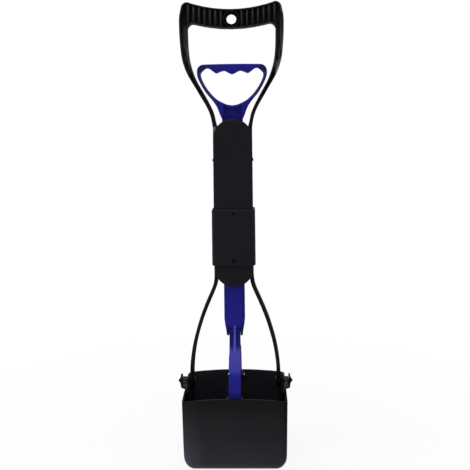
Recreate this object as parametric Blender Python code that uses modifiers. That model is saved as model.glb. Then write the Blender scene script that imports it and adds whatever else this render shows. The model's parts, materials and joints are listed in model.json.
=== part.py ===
"""A folding, long-handled pet waste scooper, modelled at its real size.

The scooper stands on its closed bucket, with its front towards -Y. The bucket is two jaws that
hang on two side pivots. Pulling the blue trigger lifts the pull rod, which swings the jaws open
through two curved links, and torsion springs close them. The handle half folds back about an
axis on the rear face of the housing, once the locking sleeve has slid up off the joint.
"""

import math

import bmesh
import bpy
from mathutils import Euler, Matrix, Vector

MM = 0.001

# Clearances and cutting values
SEAT_GAP = 0.3 * MM
SLIDE_GAP = 0.4 * MM
PIN_GAP = 0.1 * MM
EMBED = 0.8 * MM
OVERRUN = 2.0 * MM
MERGE = 0.001 * MM

# Roundness, as counts
ROUND_STEPS = 28
CORNER_STEPS = 6
CURVE_STEPS = 3

# Bucket
BUCKET_WIDTH = 133.0 * MM
BUCKET_DEPTH = 112.0 * MM
RIM_HEIGHT = 91.5 * MM
RIM_CROWN = 4.2 * MM
JAW_WALL = 2.5 * MM
HEEL_RADIUS = 21.5 * MM
WALL_LEAN = 3.0 * MM
SIDE_LEAN = 1.8 * MM
BUCKET_FOOT_RADIUS = 14.5 * MM
BUCKET_WALL_RADIUS = 5.5 * MM
BUCKET_FOOT_RISE = 25.2 * MM
JAW_GAP = 0.6 * MM

# Side pivots, from the arms outwards
PIVOT_RISE = 8.7 * MM
PIVOT_PIN_RADIUS = 2.5 * MM
PIN_HEAD_RADIUS = 4.0 * MM
PIN_HEAD_THICKNESS = 1.0 * MM
PIN_TIP_RADIUS = 2.2 * MM
PIN_TIP_LENGTH = 2.1 * MM
CLIP_RADIUS = 4.6 * MM
CLIP_THICKNESS = 1.2 * MM
INNER_EAR_THICKNESS = 3.0 * MM
INNER_EAR_SET_IN = 1.2 * MM
INNER_EAR_REACH = 20.0 * MM
INNER_EAR_DROP = 14.0 * MM
OUTER_EAR_THICKNESS = 2.0 * MM
OUTER_EAR_REACH = 14.0 * MM
OUTER_EAR_WEB = 2.6 * MM
SPRING_WIRE = 1.1 * MM
SPRING_RADIUS = 4.6 * MM
SPRING_PITCH = 1.6 * MM
SPRING_LEG = 4.6 * MM
SPRING_TURNS = 3.5
SPRING_POINTS_PER_TURN = 10

# Fork arms and the lower housing
ARM_WIDTH = 5.0 * MM
ARM_DEPTH = 14.0 * MM
ARM_EDGE = 0.7 * MM
FORK_HEIGHT = 162.0 * MM
ARM_RISE = 140.0 * MM
LOWER_COVER_LENGTH = 36.6 * MM
LOWER_SCREW_DROP = 17.0 * MM
LOWER_COLLAR_DROP = 12.0 * MM

# Housing and frame
HOUSING_WIDTH = 51.6 * MM
FRAME_DEPTH = 18.0 * MM
COVER_THICKNESS = 2.7 * MM
COVER_EDGE = 2.0 * MM
HOUSING_RAIL_WIDTH = 5.8 * MM
COLLAR_WALL = 2.0 * MM
COLLAR_HEIGHT = 13.0 * MM
PAD_HEIGHT = 9.6 * MM
PAD_SET_IN = 0.2 * MM
COVER_RIB_WIDTH = 1.6 * MM
COVER_RIB_SPACING = 15.0 * MM
UPPER_COVER_LENGTH = 183.7 * MM
UPPER_SCREW_RISES = (42.0 * MM, 146.0 * MM)
TOP_COLLAR_RISE = 156.0 * MM

# Cover screws
SCREW_SPACING = 34.0 * MM
SCREW_RADIUS = 1.4 * MM
SCREW_HEAD_RADIUS = 3.0 * MM
SCREW_HEAD_DEPTH = 1.4 * MM
SCREW_SLOT_WIDTH = 0.8 * MM
SCREW_SLOT_DEPTH = 0.6 * MM
SCREW_TIP_COVER = 1.1 * MM

# D-handle
HANDLE_RISE = 337.8 * MM
HANDLE_WIDTH = 137.8 * MM
HANDLE_DIP = 9.9 * MM
HANDLE_CORNER_RADIUS = 8.5 * MM
HANDLE_SIDE_SLOPE = 2.4 * MM
BAR_HEIGHT = 25.1 * MM
OPENING_DIP = 6.8 * MM
OPENING_CORNER_RADIUS = 8.0 * MM
SHOULDER_RISE = 171.8 * MM
SHOULDER_HEIGHT = 126.0 * MM
RAIL_TOP_WIDTH = 10.6 * MM
FRAME_EDGE = 1.2 * MM
RIM_WIDTH = 1.7 * MM
WEB_THICKNESS = 4.0 * MM
CHANNEL_FOOT_RISE = 213.0 * MM
GRIP_RIB_WIDTH = 1.3 * MM
GRIP_RIB_PITCH = 7.2 * MM
GRIP_RIBS_PER_SIDE = 7
GRIP_RIB_START = 13.6 * MM
GRIP_RIB_SINK = 0.8 * MM
RIB_FOOT_SHARE = 0.7
HANG_HOLE_RADIUS = 6.5 * MM
HOLE_RING_RADIUS = 11.2 * MM
HANG_HOLE_DROP = 12.6 * MM

# Fold joint
KNUCKLE_RADIUS = 3.5 * MM
KNUCKLE_WIDTH = 4.6 * MM
KNUCKLE_LUG_HEIGHT = 5.5 * MM
KNUCKLE_START = 14.5 * MM
FOLD_PIN_RADIUS = 1.5 * MM
ROD_KNUCKLE_WIDTH = 8.0 * MM
ROD_KNUCKLES_WIDTH = 24.0 * MM
LOCK_LIP_HEIGHT = 2.5 * MM
LOCK_LIP_DROP = 6.8 * MM
LOCK_LIP_GAP = 1.0 * MM

# Locking sleeve
SLEEVE_LENGTH = 73.3 * MM
SLEEVE_OVERHANG = 8.3 * MM
SLEEVE_WALL = 2.2 * MM
SLEEVE_EDGE_RADIUS = 4.6 * MM
SLEEVE_RIM_RADIUS = 1.5 * MM
SLEEVE_TRAVEL = 62.5 * MM
SLEEVE_SIDE_GAP = 0.5 * MM
STOP_BUMP_HEIGHT = 1.1 * MM
STOP_BUMP_LENGTH = 3.0 * MM
GUIDE_RIDGE_WIDTH = 2.2 * MM
GUIDE_RIDGE_START = 17.0 * MM
DIMPLE_RADII = (2.8 * MM, 2.0 * MM)
DIMPLE_INSETS = (6.4 * MM, 5.0 * MM)
DIMPLE_DEPTH = 1.5 * MM

# Trigger and pull rods
PULL_STROKE = 28.0 * MM
ROD_WIDTH = 27.2 * MM
ROD_DEPTH = 13.0 * MM
ROD_FLANGE = 1.8 * MM
ROD_FACE = 2.6 * MM
ROD_END_PLATE = 5.0 * MM
ROD_EDGE = 1.0 * MM
NECK_RISE = 181.2 * MM
GRIP_SIDE_ROOM = 12.1 * MM
GRIP_HEIGHT = 74.9 * MM
GRIP_DEPTH = 14.0 * MM
GRIP_CORNER = 9.0 * MM
GRIP_ARCH = 0.5 * MM
GRIP_EDGE = 1.2 * MM
GRIP_WEB_HEIGHT = 17.0 * MM
PANEL_RIM = 1.6 * MM
PANEL_DEPTH = 1.9 * MM
PANEL_DROP = 14.0 * MM
LOWER_ROD_LENGTH = 101.3 * MM
CLEVIS_TAPER_HEIGHT = 22.0 * MM
CLEVIS_TIP_WIDTH = 20.9 * MM
CLEVIS_PIN_INSET = 5.2 * MM

# Links between the rod and the jaws
LINK_WIDTH = 15.2 * MM
LINK_THICKNESS = 4.6 * MM
LINK_EDGE = 0.9 * MM
LINK_NECK_WIDTH = 14.2 * MM
LINK_NECK_LENGTH = 27.0 * MM
LINK_SPINE_WIDTH = 2.8 * MM
LINK_SPINE_HEIGHT = 2.2 * MM
LINK_SPINE_TAB = 8.4 * MM
LINK_EYE_RADIUS = 3.5 * MM
LINK_PIN_RADIUS = 1.3 * MM
JAW_PIN_RADIUS = 1.7 * MM
JAW_PIN_LENGTH = 23.0 * MM
LUG_SET_IN = 8.5 * MM
LUG_DROP = 9.2 * MM
LUG_THICKNESS = 2.2 * MM
LUG_RADIUS = 4.4 * MM
LUG_SLOT_RUN = 1.9 * MM
LUG_SLOT_RISE = 0.4 * MM
LUG_SLOT_GAP = 0.35 * MM

# Places worked out from the sizes above
PIVOT_Z = RIM_HEIGHT + PIVOT_RISE
FOLD_Z = PIVOT_Z + FORK_HEIGHT
HOUSING_HALF = HOUSING_WIDTH / 2
FRAME_HALF_DEPTH = FRAME_DEPTH / 2
PAD_HALF_DEPTH = FRAME_HALF_DEPTH - PAD_SET_IN
COVER_INNER_Y = FRAME_HALF_DEPTH + SEAT_GAP
COVER_OUTER_Y = COVER_INNER_Y + COVER_THICKNESS
FOLD_Y = COVER_OUTER_Y
SPLIT_GAP = SEAT_GAP
ROD_HALF = ROD_WIDTH / 2
ROD_HALF_DEPTH = ROD_DEPTH / 2
GRIP_WIDTH = HANDLE_WIDTH - (RAIL_TOP_WIDTH + GRIP_SIDE_ROOM) * 2
EAR_RADIUS = PIVOT_RISE - SEAT_GAP
BUCKET_HALF = BUCKET_WIDTH / 2
INNER_EAR_OUTER_X = BUCKET_HALF - JAW_WALL - INNER_EAR_SET_IN
INNER_EAR_INNER_X = INNER_EAR_OUTER_X - INNER_EAR_THICKNESS
ARM_OUTER_X = INNER_EAR_INNER_X - SLIDE_GAP
ARM_INNER_X = ARM_OUTER_X - ARM_WIDTH
SPRING_START_X = INNER_EAR_OUTER_X + SEAT_GAP + SPRING_WIRE / 2
SPRING_LENGTH = SPRING_TURNS * SPRING_PITCH
OUTER_EAR_INNER_X = SPRING_START_X + SPRING_LENGTH + SPRING_WIRE / 2 + SEAT_GAP
OUTER_EAR_OUTER_X = OUTER_EAR_INNER_X + OUTER_EAR_THICKNESS
LUG_Y = BUCKET_DEPTH / 2 - LUG_SET_IN
LUG_Z = PIVOT_Z - LUG_DROP
ROD_FOOT_Z = FOLD_Z - LOWER_ROD_LENGTH
CLEVIS_PIN_Z = ROD_FOOT_Z + CLEVIS_PIN_INSET
CLEVIS_PIN_Y = LINK_EYE_RADIUS + SLIDE_GAP
SLEEVE_FOOT_Z = FOLD_Z - SLEEVE_OVERHANG
SLEEVE_REAR_Y = FOLD_Y + KNUCKLE_RADIUS + SEAT_GAP
SLEEVE_FRONT_Y = COVER_OUTER_Y + SEAT_GAP
SLEEVE_INNER_HALF = HOUSING_HALF + SLEEVE_SIDE_GAP
SLEEVE_STOP_Z = SLEEVE_FOOT_Z + SLEEVE_LENGTH + SLEEVE_TRAVEL + SEAT_GAP

FORK_SHARES = (
    # height share, spread share
    (0.0, 1.0), (0.141, 0.991), (0.254, 0.942), (0.367, 0.86), (0.48, 0.738), (0.593, 0.59),
    (0.705, 0.411), (0.818, 0.205), (0.874, 0.104), (0.931, 0.03), (1.0, 0.0),
)
SHOULDER_SHARES = (
    # height share, spread share, width share
    (0.0, 0.0, 0.55), (0.075, 0.034, 0.457), (0.158, 0.099, 0.49), (0.241, 0.212, 0.523),
    (0.325, 0.357, 0.581), (0.408, 0.498, 0.597), (0.491, 0.644, 0.655), (0.575, 0.778, 0.783),
    (0.659, 0.869, 0.842), (0.742, 0.929, 0.892), (0.867, 0.971, 0.932), (1.0, 0.995, 0.995),
)
GRIP_SIDE_SHARES = (
    # height share from the neck, half-width share
    (0.0, 0.27), (0.071, 0.33), (0.14, 0.371), (0.211, 0.415), (0.28, 0.473), (0.351, 0.554),
    (0.42, 0.647), (0.491, 0.742), (0.561, 0.815), (0.631, 0.881), (0.701, 0.936), (0.772, 0.982),
    (0.838, 0.999),
)
GRIP_HOLE_SHARES = (
    # height share from the neck, half-width share, up the side and then along the scallops
    (0.272, 0.0), (0.288, 0.157), (0.353, 0.383), (0.42, 0.517), (0.491, 0.624), (0.561, 0.711),
    (0.631, 0.782), (0.701, 0.841), (0.772, 0.884), (0.841, 0.89), (0.905, 0.79),
    (0.929, 0.72), (0.914, 0.633), (0.864, 0.531), (0.836, 0.443), (0.861, 0.352),
    (0.881, 0.22), (0.842, 0.095), (0.817, 0.0),
)
PANEL_TOP_SHARES = (
    # height share from the neck, share of the panel's half width
    (0.236, 0.0), (0.24, 0.35), (0.252, 0.68), (0.272, 0.94), (0.262, 1.0),
)
HANDLE_SIDE_SHARES = (
    # share of the slope, share of the corner radius below its centre
    (0.0, 1.9), (0.2, 1.05), (0.42, 0.72), (0.66, 0.4),
)
LINK_SHARES = (
    # share of the way out, share of the way down
    (0.0, 0.0), (0.045, 0.13), (0.27, 0.30), (0.57, 0.475), (0.80, 0.65), (0.93, 0.82), (1.0, 1.0),
)


def screen_colour(red, green, blue):
    """A linear colour from the red, green and blue of a screen, each from 0 to 255."""
    shares = (channel / 255 for channel in (red, green, blue))
    return (*(((share + 0.055) / 1.055) ** 2.4 if share > 0.04 else share / 12.92 for share in shares), 1.0)


FINISHES = {
    # colour, roughness, metallic
    "black_moulding": (screen_colour(27, 27, 29), 0.42, 0.0),
    "black_cover": (screen_colour(28, 27, 31), 0.36, 0.0),
    "black_bucket": (screen_colour(30, 30, 32), 0.38, 0.0),
    "blue_moulding": (screen_colour(32, 34, 118), 0.34, 0.0),
    "steel": (screen_colour(168, 168, 170), 0.30, 1.0),
    "dark_steel": (screen_colour(44, 44, 46), 0.40, 0.6),
}


def clear_scene():
    for item in list(bpy.data.objects):
        bpy.data.objects.remove(item, do_unlink=True)


def new_collection(name, hidden=False):
    group = bpy.data.collections.new(name)
    bpy.context.scene.collection.children.link(group)
    group.hide_render = hidden
    return group


def finish_material(name):
    """The named plastic or metal, made once and shared by the pieces that have it."""
    colour, roughness, metallic = FINISHES[name]
    found = bpy.data.materials.new(name)
    found.use_nodes = True
    shader = found.node_tree.nodes["Principled BSDF"]
    shader.inputs["Base Color"].default_value = colour
    shader.inputs["Roughness"].default_value = roughness
    shader.inputs["Metallic"].default_value = metallic
    found.diffuse_color = colour
    return found


def new_object(name, mesh):
    made = bpy.data.objects.new(name, mesh)
    cutters.objects.link(made)
    return made


def from_bmesh(name, shape):
    mesh = bpy.data.meshes.new(name)
    bmesh.ops.recalc_face_normals(shape, faces=shape.faces)
    shape.to_mesh(mesh)
    shape.free()
    return new_object(name, mesh)


def box(name, low, high):
    """A block between its lowest and highest corners."""
    low, high = Vector(low), Vector(high)
    shape = bmesh.new()
    bmesh.ops.create_cube(shape, size=1.0)
    bmesh.ops.scale(shape, vec=high - low, verts=shape.verts)
    bmesh.ops.translate(shape, vec=(low + high) / 2, verts=shape.verts)
    return from_bmesh(name, shape)


def rod_along_x(name, start, end, centre, radius, steps=ROUND_STEPS):
    """A cylinder along X between two places, about a centre given as (y, z)."""
    shape = bmesh.new()
    turn = Euler((0, math.radians(90), 0)).to_matrix().to_4x4()
    place = Matrix.Translation(((start + end) / 2, centre[0], centre[1]))
    bmesh.ops.create_cone(
        shape, cap_ends=True, segments=steps, radius1=radius, radius2=radius,
        depth=end - start, matrix=place @ turn,
    )
    return from_bmesh(name, shape)


def rod_along_y(name, start, end, centre, radius, steps=ROUND_STEPS):
    """A cylinder along Y between two places, about a centre given as (x, z)."""
    shape = bmesh.new()
    turn = Euler((math.radians(90), 0, 0)).to_matrix().to_4x4()
    place = Matrix.Translation((centre[0], (start + end) / 2, centre[1]))
    bmesh.ops.create_cone(
        shape, cap_ends=True, segments=steps, radius1=radius, radius2=radius,
        depth=end - start, matrix=place @ turn,
    )
    return from_bmesh(name, shape)


PLANES = {
    "front": Matrix(((1, 0, 0), (0, 0, -1), (0, 1, 0))).to_4x4(),
    "side": Matrix(((0, 0, 1), (1, 0, 0), (0, 1, 0))).to_4x4(),
}


def plate(name, loops, plane, start, end):
    """A flat outline given thickness: on the front plane it runs along Y, on the side plane along X.

    The first loop is the outline, and any others are holes in it.
    """
    curve = bpy.data.curves.new(name, "CURVE")
    curve.dimensions = "2D"
    curve.fill_mode = "BOTH"
    curve.extrude = (end - start) / 2
    for loop in loops:
        spline = curve.splines.new("POLY")
        spline.points.add(len(loop) - 1)
        for point, (across, up) in zip(spline.points, loop):
            point.co = (across, up, 0, 1)
        spline.use_cyclic_u = True
    flat = bpy.data.objects.new(name, curve)
    middle = (start + end) / 2
    away = Vector((0, middle, 0)) if plane == "front" else Vector((middle, 0, 0))
    flat.matrix_world = Matrix.Translation(away) @ PLANES[plane]
    cutters.objects.link(flat)
    bpy.context.view_layer.update()
    graph = bpy.context.evaluated_depsgraph_get()
    mesh = bpy.data.meshes.new_from_object(flat.evaluated_get(graph))
    shape = bmesh.new()
    shape.from_mesh(mesh)
    bmesh.ops.remove_doubles(shape, verts=shape.verts, dist=MERGE)
    bmesh.ops.dissolve_limit(
        shape, angle_limit=math.radians(0.2), verts=shape.verts, edges=shape.edges
    )
    bmesh.ops.transform(shape, matrix=flat.matrix_world, verts=shape.verts)
    bpy.data.objects.remove(flat)
    bpy.data.meshes.remove(mesh)
    return from_bmesh(name, shape)


def turned(name, profile, place, direction, steps=ROUND_STEPS):
    """A turned piece. Its profile of (radius, height) runs from the top of the axis to its foot."""
    mesh = bpy.data.meshes.new(name)
    points = [(radius, 0, height) for radius, height in profile]
    mesh.from_pydata(points, [(i, i + 1) for i in range(len(points) - 1)], [])
    made = new_object(name, mesh)
    screw = made.modifiers.new("Turn", "SCREW")
    screw.steps = steps
    screw.render_steps = steps
    screw.use_merge_vertices = True
    screw.merge_threshold = MERGE
    made.location = place
    made.rotation_euler = Vector(direction).to_track_quat("Z", "Y").to_euler()
    return made


def both_sides(shape):
    """The shape with its mirror image on the other side of the middle plane, in one mesh."""
    work = bmesh.new()
    work.from_mesh(shape.data)
    first = list(work.verts) + list(work.edges) + list(work.faces)
    copied = bmesh.ops.duplicate(work, geom=first)["geom"]
    verts = [item for item in copied if isinstance(item, bmesh.types.BMVert)]
    faces = [item for item in copied if isinstance(item, bmesh.types.BMFace)]
    bmesh.ops.scale(work, vec=(-1, 1, 1), verts=verts)
    bmesh.ops.reverse_faces(work, faces=faces)
    work.to_mesh(shape.data)
    work.free()
    return shape


def gathered(name, shapes):
    """Shapes that don't touch each other, put in one mesh to be cut or joined together."""
    work = bmesh.new()
    for shape in shapes:
        work.from_mesh(shape.data)
        bpy.data.objects.remove(shape)
    mesh = bpy.data.meshes.new(name)
    work.to_mesh(mesh)
    work.free()
    return new_object(name, mesh)


def combine(target, shape, operation):
    step = target.modifiers.new(shape.name, "BOOLEAN")
    step.operation = operation
    step.solver = "EXACT"
    step.object = shape
    shape.parent = target
    shape.matrix_parent_inverse = target.matrix_basis.inverted()
    shape.display_type = "WIRE"
    shape.hide_render = True
    return target


def carve(target, *shapes):
    for shape in shapes:
        combine(target, shape, "DIFFERENCE")
    return target


def unite(target, *shapes):
    for shape in shapes:
        combine(target, shape, "UNION")
    return target


def soften(target, width, segments=2):
    """Rounds the sharp edges made so far."""
    bevel = target.modifiers.new("Rounded edges", "BEVEL")
    bevel.width = width
    bevel.segments = segments
    bevel.limit_method = "ANGLE"
    bevel.angle_limit = math.radians(50)
    return target


def finished(piece, body, finish):
    """Hands a piece to the object's collection, on its body, with its material."""
    cutters.objects.unlink(piece)
    pieces.objects.link(piece)
    piece.data.materials.append(materials[finish])
    piece.parent = body
    piece.location = piece.location - body.location
    if any(len(face.vertices) > 2 for face in piece.data.polygons):
        piece.data.shade_smooth()
        piece.data.set_sharp_from_angle(angle=math.radians(35))
    return piece


def body_axis(name, place):
    """An empty on the joint axis that carries a moving body."""
    empty = bpy.data.objects.new(name, None)
    empty.location = place
    empty.empty_display_size = EAR_RADIUS
    pieces.objects.link(empty)
    return empty


def arc(centre, radius, start, end, steps):
    """Points of an arc between two angles in degrees, both ends included."""
    turn = math.radians(end - start) / steps
    first = math.radians(start)
    return [
        (centre[0] + radius * math.cos(first + i * turn), centre[1] + radius * math.sin(first + i * turn))
        for i in range(steps + 1)
    ]


def smooth_path(points, steps):
    """A curve through the points, with the given number of steps between each two."""
    path = []
    for i in range(len(points) - 1):
        before = points[max(i - 1, 0)]
        start, end = points[i], points[i + 1]
        after = points[min(i + 2, len(points) - 1)]
        for k in range(steps):
            t = k / steps
            path.append(tuple(
                0.5 * (2 * b + (c - a) * t + (2 * a - 5 * b + 4 * c - d) * t ** 2
                       + (3 * b - a - 3 * c + d) * t ** 3)
                for a, b, c, d in zip(before, start, end, after)
            ))
    return [*path, tuple(points[-1])]


def moved_in(path, distance):
    """The path moved to its left by a distance, measured square to it."""
    moved = []
    for i, point in enumerate(path):
        before, after = path[max(i - 1, 0)], path[min(i + 1, len(path) - 1)]
        run, rise = after[0] - before[0], after[1] - before[1]
        length = math.hypot(run, rise)
        moved.append((point[0] - rise / length * distance, point[1] + run / length * distance))
    return moved


def mirrored(path):
    """The path on the other side of the middle, in the opposite order."""
    return [(-across, up) for across, up in reversed(path)]


# Outlines


def shoulder_path(inner):
    """One rail from the housing up to the handle, along its outer or its inner edge."""
    spread = HANDLE_WIDTH / 2 - HOUSING_HALF
    points = []
    for height_share, spread_share, width_share in SHOULDER_SHARES:
        outer = HOUSING_HALF + spread * spread_share
        width = RAIL_TOP_WIDTH * width_share if inner else 0
        points.append((outer - width, FOLD_Z + SHOULDER_RISE + SHOULDER_HEIGHT * height_share))
    return smooth_path(points, CURVE_STEPS)


def handle_top_path():
    """The outer edge of the grip bar, from the right rail round the corner to the middle."""
    top = FOLD_Z + HANDLE_RISE
    half = HANDLE_WIDTH / 2
    corner = (half - HANDLE_CORNER_RADIUS - HANDLE_SIDE_SLOPE, top - HANDLE_CORNER_RADIUS)
    side = [
        (half - HANDLE_SIDE_SLOPE * slope_share, corner[1] - HANDLE_CORNER_RADIUS * drop_share)
        for slope_share, drop_share in HANDLE_SIDE_SHARES
    ]
    rounded = arc(corner, HANDLE_CORNER_RADIUS, 4, 96, CORNER_STEPS)
    dip = []
    for share in (0.93, 0.8, 0.62, 0.42, 0.2, 0.0):
        dip.append((corner[0] * share, top - HANDLE_DIP * (1 - share ** 2)))
    return side + rounded + dip


def opening_top_path():
    """The upper edge of the handle's opening, from the right rail to the middle."""
    middle = FOLD_Z + HANDLE_RISE - HANDLE_DIP - BAR_HEIGHT
    side = HANDLE_WIDTH / 2 - RAIL_TOP_WIDTH
    corner = (side - OPENING_CORNER_RADIUS, middle + OPENING_DIP - OPENING_CORNER_RADIUS)
    rounded = arc(corner, OPENING_CORNER_RADIUS, 0, 86, CORNER_STEPS)
    dip = [(corner[0] * share, middle + OPENING_DIP * share ** 2) for share in (0.85, 0.6, 0.3, 0.0)]
    return rounded + dip


def upper_frame_outline():
    """The frame as one loop, shaped like an upturned tuning fork."""
    foot = FOLD_Z + SPLIT_GAP
    bump = SLEEVE_STOP_Z
    outer = [
        (HOUSING_HALF, foot), (HOUSING_HALF, bump),
        (HOUSING_HALF + STOP_BUMP_HEIGHT, bump + STOP_BUMP_HEIGHT / 2),
        (HOUSING_HALF + STOP_BUMP_HEIGHT, bump + STOP_BUMP_LENGTH),
        (HOUSING_HALF, bump + STOP_BUMP_LENGTH + STOP_BUMP_HEIGHT),
        *shoulder_path(False), *handle_top_path(),
    ]
    inner = [(HOUSING_HALF - HOUSING_RAIL_WIDTH, foot), *shoulder_path(True), *opening_top_path()]
    right = outer[:-1] + mirrored(outer)
    hole = inner[:-1] + mirrored(inner)
    return right + hole[::-1]


def channel_outline():
    """The hollow between the frame's rims, from the shoulders round the grip bar."""
    foot = FOLD_Z + CHANNEL_FOOT_RISE
    outer = [point for point in shoulder_path(False) if point[1] > foot] + handle_top_path()
    inner = [point for point in shoulder_path(True) if point[1] > foot] + opening_top_path()
    outer = moved_in(outer[:-1] + mirrored(outer), RIM_WIDTH)
    inner = moved_in(inner[:-1] + mirrored(inner), -RIM_WIDTH)
    return outer + inner[::-1]


def bar_edge(path, across):
    """The height of an edge of the grip bar at a place across it."""
    above = sorted(point for point in path if point[1] > FOLD_Z + SHOULDER_RISE + SHOULDER_HEIGHT)
    for (x0, z0), (x1, z1) in zip(above, above[1:]):
        if x0 <= across <= x1:
            return z0 + (z1 - z0) * (across - x0) / max(x1 - x0, MERGE)
    return above[-1][1]


# Upper half


def knuckle(name, start, end, side, depth_start):
    """A hinge knuckle on the fold axis, with the lug that ties it to what lies in front.

    side is 1 for a piece above the fold and -1 for one below it.
    """
    near = SPLIT_GAP + EMBED / 4
    meets = math.degrees(math.asin(near / KNUCKLE_RADIUS))
    outline = [
        *arc((0, 0), KNUCKLE_RADIUS, 180 - meets, 450, CORNER_STEPS * 4),
        (0, KNUCKLE_LUG_HEIGHT), (depth_start - FOLD_Y, KNUCKLE_LUG_HEIGHT),
        (depth_start - FOLD_Y, near),
    ]
    outline = [(FOLD_Y + depth, FOLD_Z + side * height) for depth, height in outline]
    return plate(name, [outline], "side", start, end)


def knuckle_room(name, start, end):
    """The space that the other piece's knuckle turns in."""
    return rod_along_x(
        name, start - SEAT_GAP, end + SEAT_GAP, (FOLD_Y, FOLD_Z), KNUCKLE_RADIUS + SLIDE_GAP
    )


def pin_bore(name, start, end, centre, radius):
    return rod_along_x(name, start - OVERRUN, end + OVERRUN, centre, radius + PIN_GAP)


LOWER_KNUCKLE = (KNUCKLE_START, KNUCKLE_START + KNUCKLE_WIDTH)
UPPER_KNUCKLE = (LOWER_KNUCKLE[1] + SLIDE_GAP, LOWER_KNUCKLE[1] + SLIDE_GAP + KNUCKLE_WIDTH)
SCREW_X = SCREW_SPACING / 2
PAD_INNER_X = ROD_HALF + SLIDE_GAP
PAD_OUTER_X = HOUSING_HALF - HOUSING_RAIL_WIDTH + EMBED


def guide_pad(name, low, high):
    """A block inside each rail that guides the rod's edge."""
    return both_sides(box(
        name, (PAD_INNER_X, -PAD_HALF_DEPTH, low), (PAD_OUTER_X, PAD_HALF_DEPTH, high)
    ))


def collar(name, low, high):
    """A closed ring between the rails that the rod runs through."""
    across = HOUSING_HALF - HOUSING_RAIL_WIDTH + EMBED
    ring = box(name, (-across, -PAD_HALF_DEPTH, low), (across, PAD_HALF_DEPTH, high))
    window = box(
        name + " window", (-PAD_INNER_X, -ROD_HALF_DEPTH - SLIDE_GAP, low - OVERRUN),
        (PAD_INNER_X, ROD_HALF_DEPTH + SLIDE_GAP, high + OVERRUN),
    )
    return carve(ring, window)


def screw_bores(name, height):
    """The pair of screw holes that run through a frame at one height."""
    return both_sides(rod_along_y(
        name, -FRAME_HALF_DEPTH - OVERRUN, FRAME_HALF_DEPTH + OVERRUN, (SCREW_X, height),
        SCREW_RADIUS + SEAT_GAP, ROUND_STEPS // 2,
    ))


def upper_frame(body):
    frame = plate(
        "upper_frame", [upper_frame_outline()], "front", -FRAME_HALF_DEPTH, FRAME_HALF_DEPTH
    )
    soften(frame, FRAME_EDGE)
    channel = [channel_outline()]
    web = WEB_THICKNESS / 2
    deep = FRAME_HALF_DEPTH + OVERRUN
    carve(frame, gathered("handle channels", [
        plate("front channel", channel, "front", -deep, -web),
        plate("rear channel", channel, "front", web, deep),
    ]))
    hole = (0, FOLD_Z + HANDLE_RISE - HANDLE_DIP - HANG_HOLE_DROP)
    reach = FRAME_HALF_DEPTH - GRIP_RIB_SINK / 2
    unite(frame, grip_ribs(), rod_along_y("hole ring", -reach, reach, hole, HOLE_RING_RADIUS))
    recess = HOLE_RING_RADIUS - RIM_WIDTH
    carve(
        frame,
        gathered("ring recesses", [
            rod_along_y("front recess", -deep, -web - EMBED / 4, hole, recess),
            rod_along_y("rear recess", web + EMBED / 4, deep, hole, recess),
        ]),
        rod_along_y("hang hole", -deep, deep, hole, HANG_HOLE_RADIUS),
    )
    pad = PAD_HEIGHT / 2
    end_top = FOLD_Z + PAD_HEIGHT
    low_screw, high_screw = (FOLD_Z + rise for rise in UPPER_SCREW_RISES)
    unite(
        frame,
        guide_pad("fold pads", FOLD_Z + SPLIT_GAP * 2 + PAD_SET_IN, end_top),
        guide_pad("low screw pads", low_screw - pad, low_screw + pad),
        guide_pad("high screw pads", high_screw - pad, high_screw + pad),
        collar("top collar", FOLD_Z + TOP_COLLAR_RISE, FOLD_Z + TOP_COLLAR_RISE + COLLAR_HEIGHT),
    )
    carve(frame, both_sides(knuckle_room("room for lower knuckles", *LOWER_KNUCKLE)))
    unite(frame, both_sides(knuckle("upper knuckle", *UPPER_KNUCKLE, 1, FRAME_HALF_DEPTH - EMBED)))
    carve(
        frame,
        both_sides(pin_bore("fold pin bore", *UPPER_KNUCKLE, (FOLD_Y, FOLD_Z), FOLD_PIN_RADIUS)),
        screw_bores("low screw bores", low_screw),
        screw_bores("high screw bores", high_screw),
    )
    return finished(frame, body, "black_moulding")


def grip_ribs():
    """The row of upright ribs in the grip bar's channel, on both faces."""
    top = handle_top_path()
    low = opening_top_path()
    reach = FRAME_HALF_DEPTH - GRIP_RIB_SINK
    ribs = []
    for i in range(GRIP_RIBS_PER_SIDE):
        across = GRIP_RIB_START + i * GRIP_RIB_PITCH
        half = GRIP_RIB_WIDTH / 2
        foot = bar_edge(low, across) + RIM_WIDTH * RIB_FOOT_SHARE
        head = min(bar_edge(top, across - half), bar_edge(top, across + half)) - RIM_WIDTH / 2
        ribs.append(both_sides(box("rib", (across - half, -reach, foot), (across + half, reach, head))))
    return gathered("grip ribs", ribs)


def dome(centre_z, radius, side):
    """Half a circle that ends a cover: side is 1 for its top and -1 for its foot."""
    start = 0 if side > 0 else 180
    return arc((0, centre_z), radius, start, start + 180, CORNER_STEPS * 4)


def rounded_face(target, face_y, radius, segments):
    """Rounds the edges of a plate's face that looks forwards or back."""
    shape = bmesh.new()
    shape.from_mesh(target.data)
    edges = [
        edge for edge in shape.edges if all(abs(vert.co.y - face_y) < MERGE for vert in edge.verts)
    ]
    bmesh.ops.bevel(
        shape, geom=edges, offset=radius, segments=segments, profile=0.5, affect="EDGES"
    )
    shape.to_mesh(target.data)
    shape.free()
    return target


def cover_plate(name, outline, facing):
    """A housing cover. facing is -1 for the front one and 1 for the rear one."""
    near, far = sorted((facing * COVER_INNER_Y, facing * COVER_OUTER_Y))
    cover = plate(name, [outline], "front", near, far)
    return rounded_face(cover, facing * COVER_OUTER_Y, COVER_EDGE, CORNER_STEPS // 2)


def cover_ribs(name, low, high, facing):
    """Two long ribs inside a cover, which guide the rod's flat side."""
    near, far = sorted((facing * (ROD_HALF_DEPTH + SLIDE_GAP), facing * (COVER_INNER_Y + EMBED)))
    across = COVER_RIB_SPACING / 2
    return both_sides(box(name, (across, near, low), (across + COVER_RIB_WIDTH, far, high)))


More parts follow.
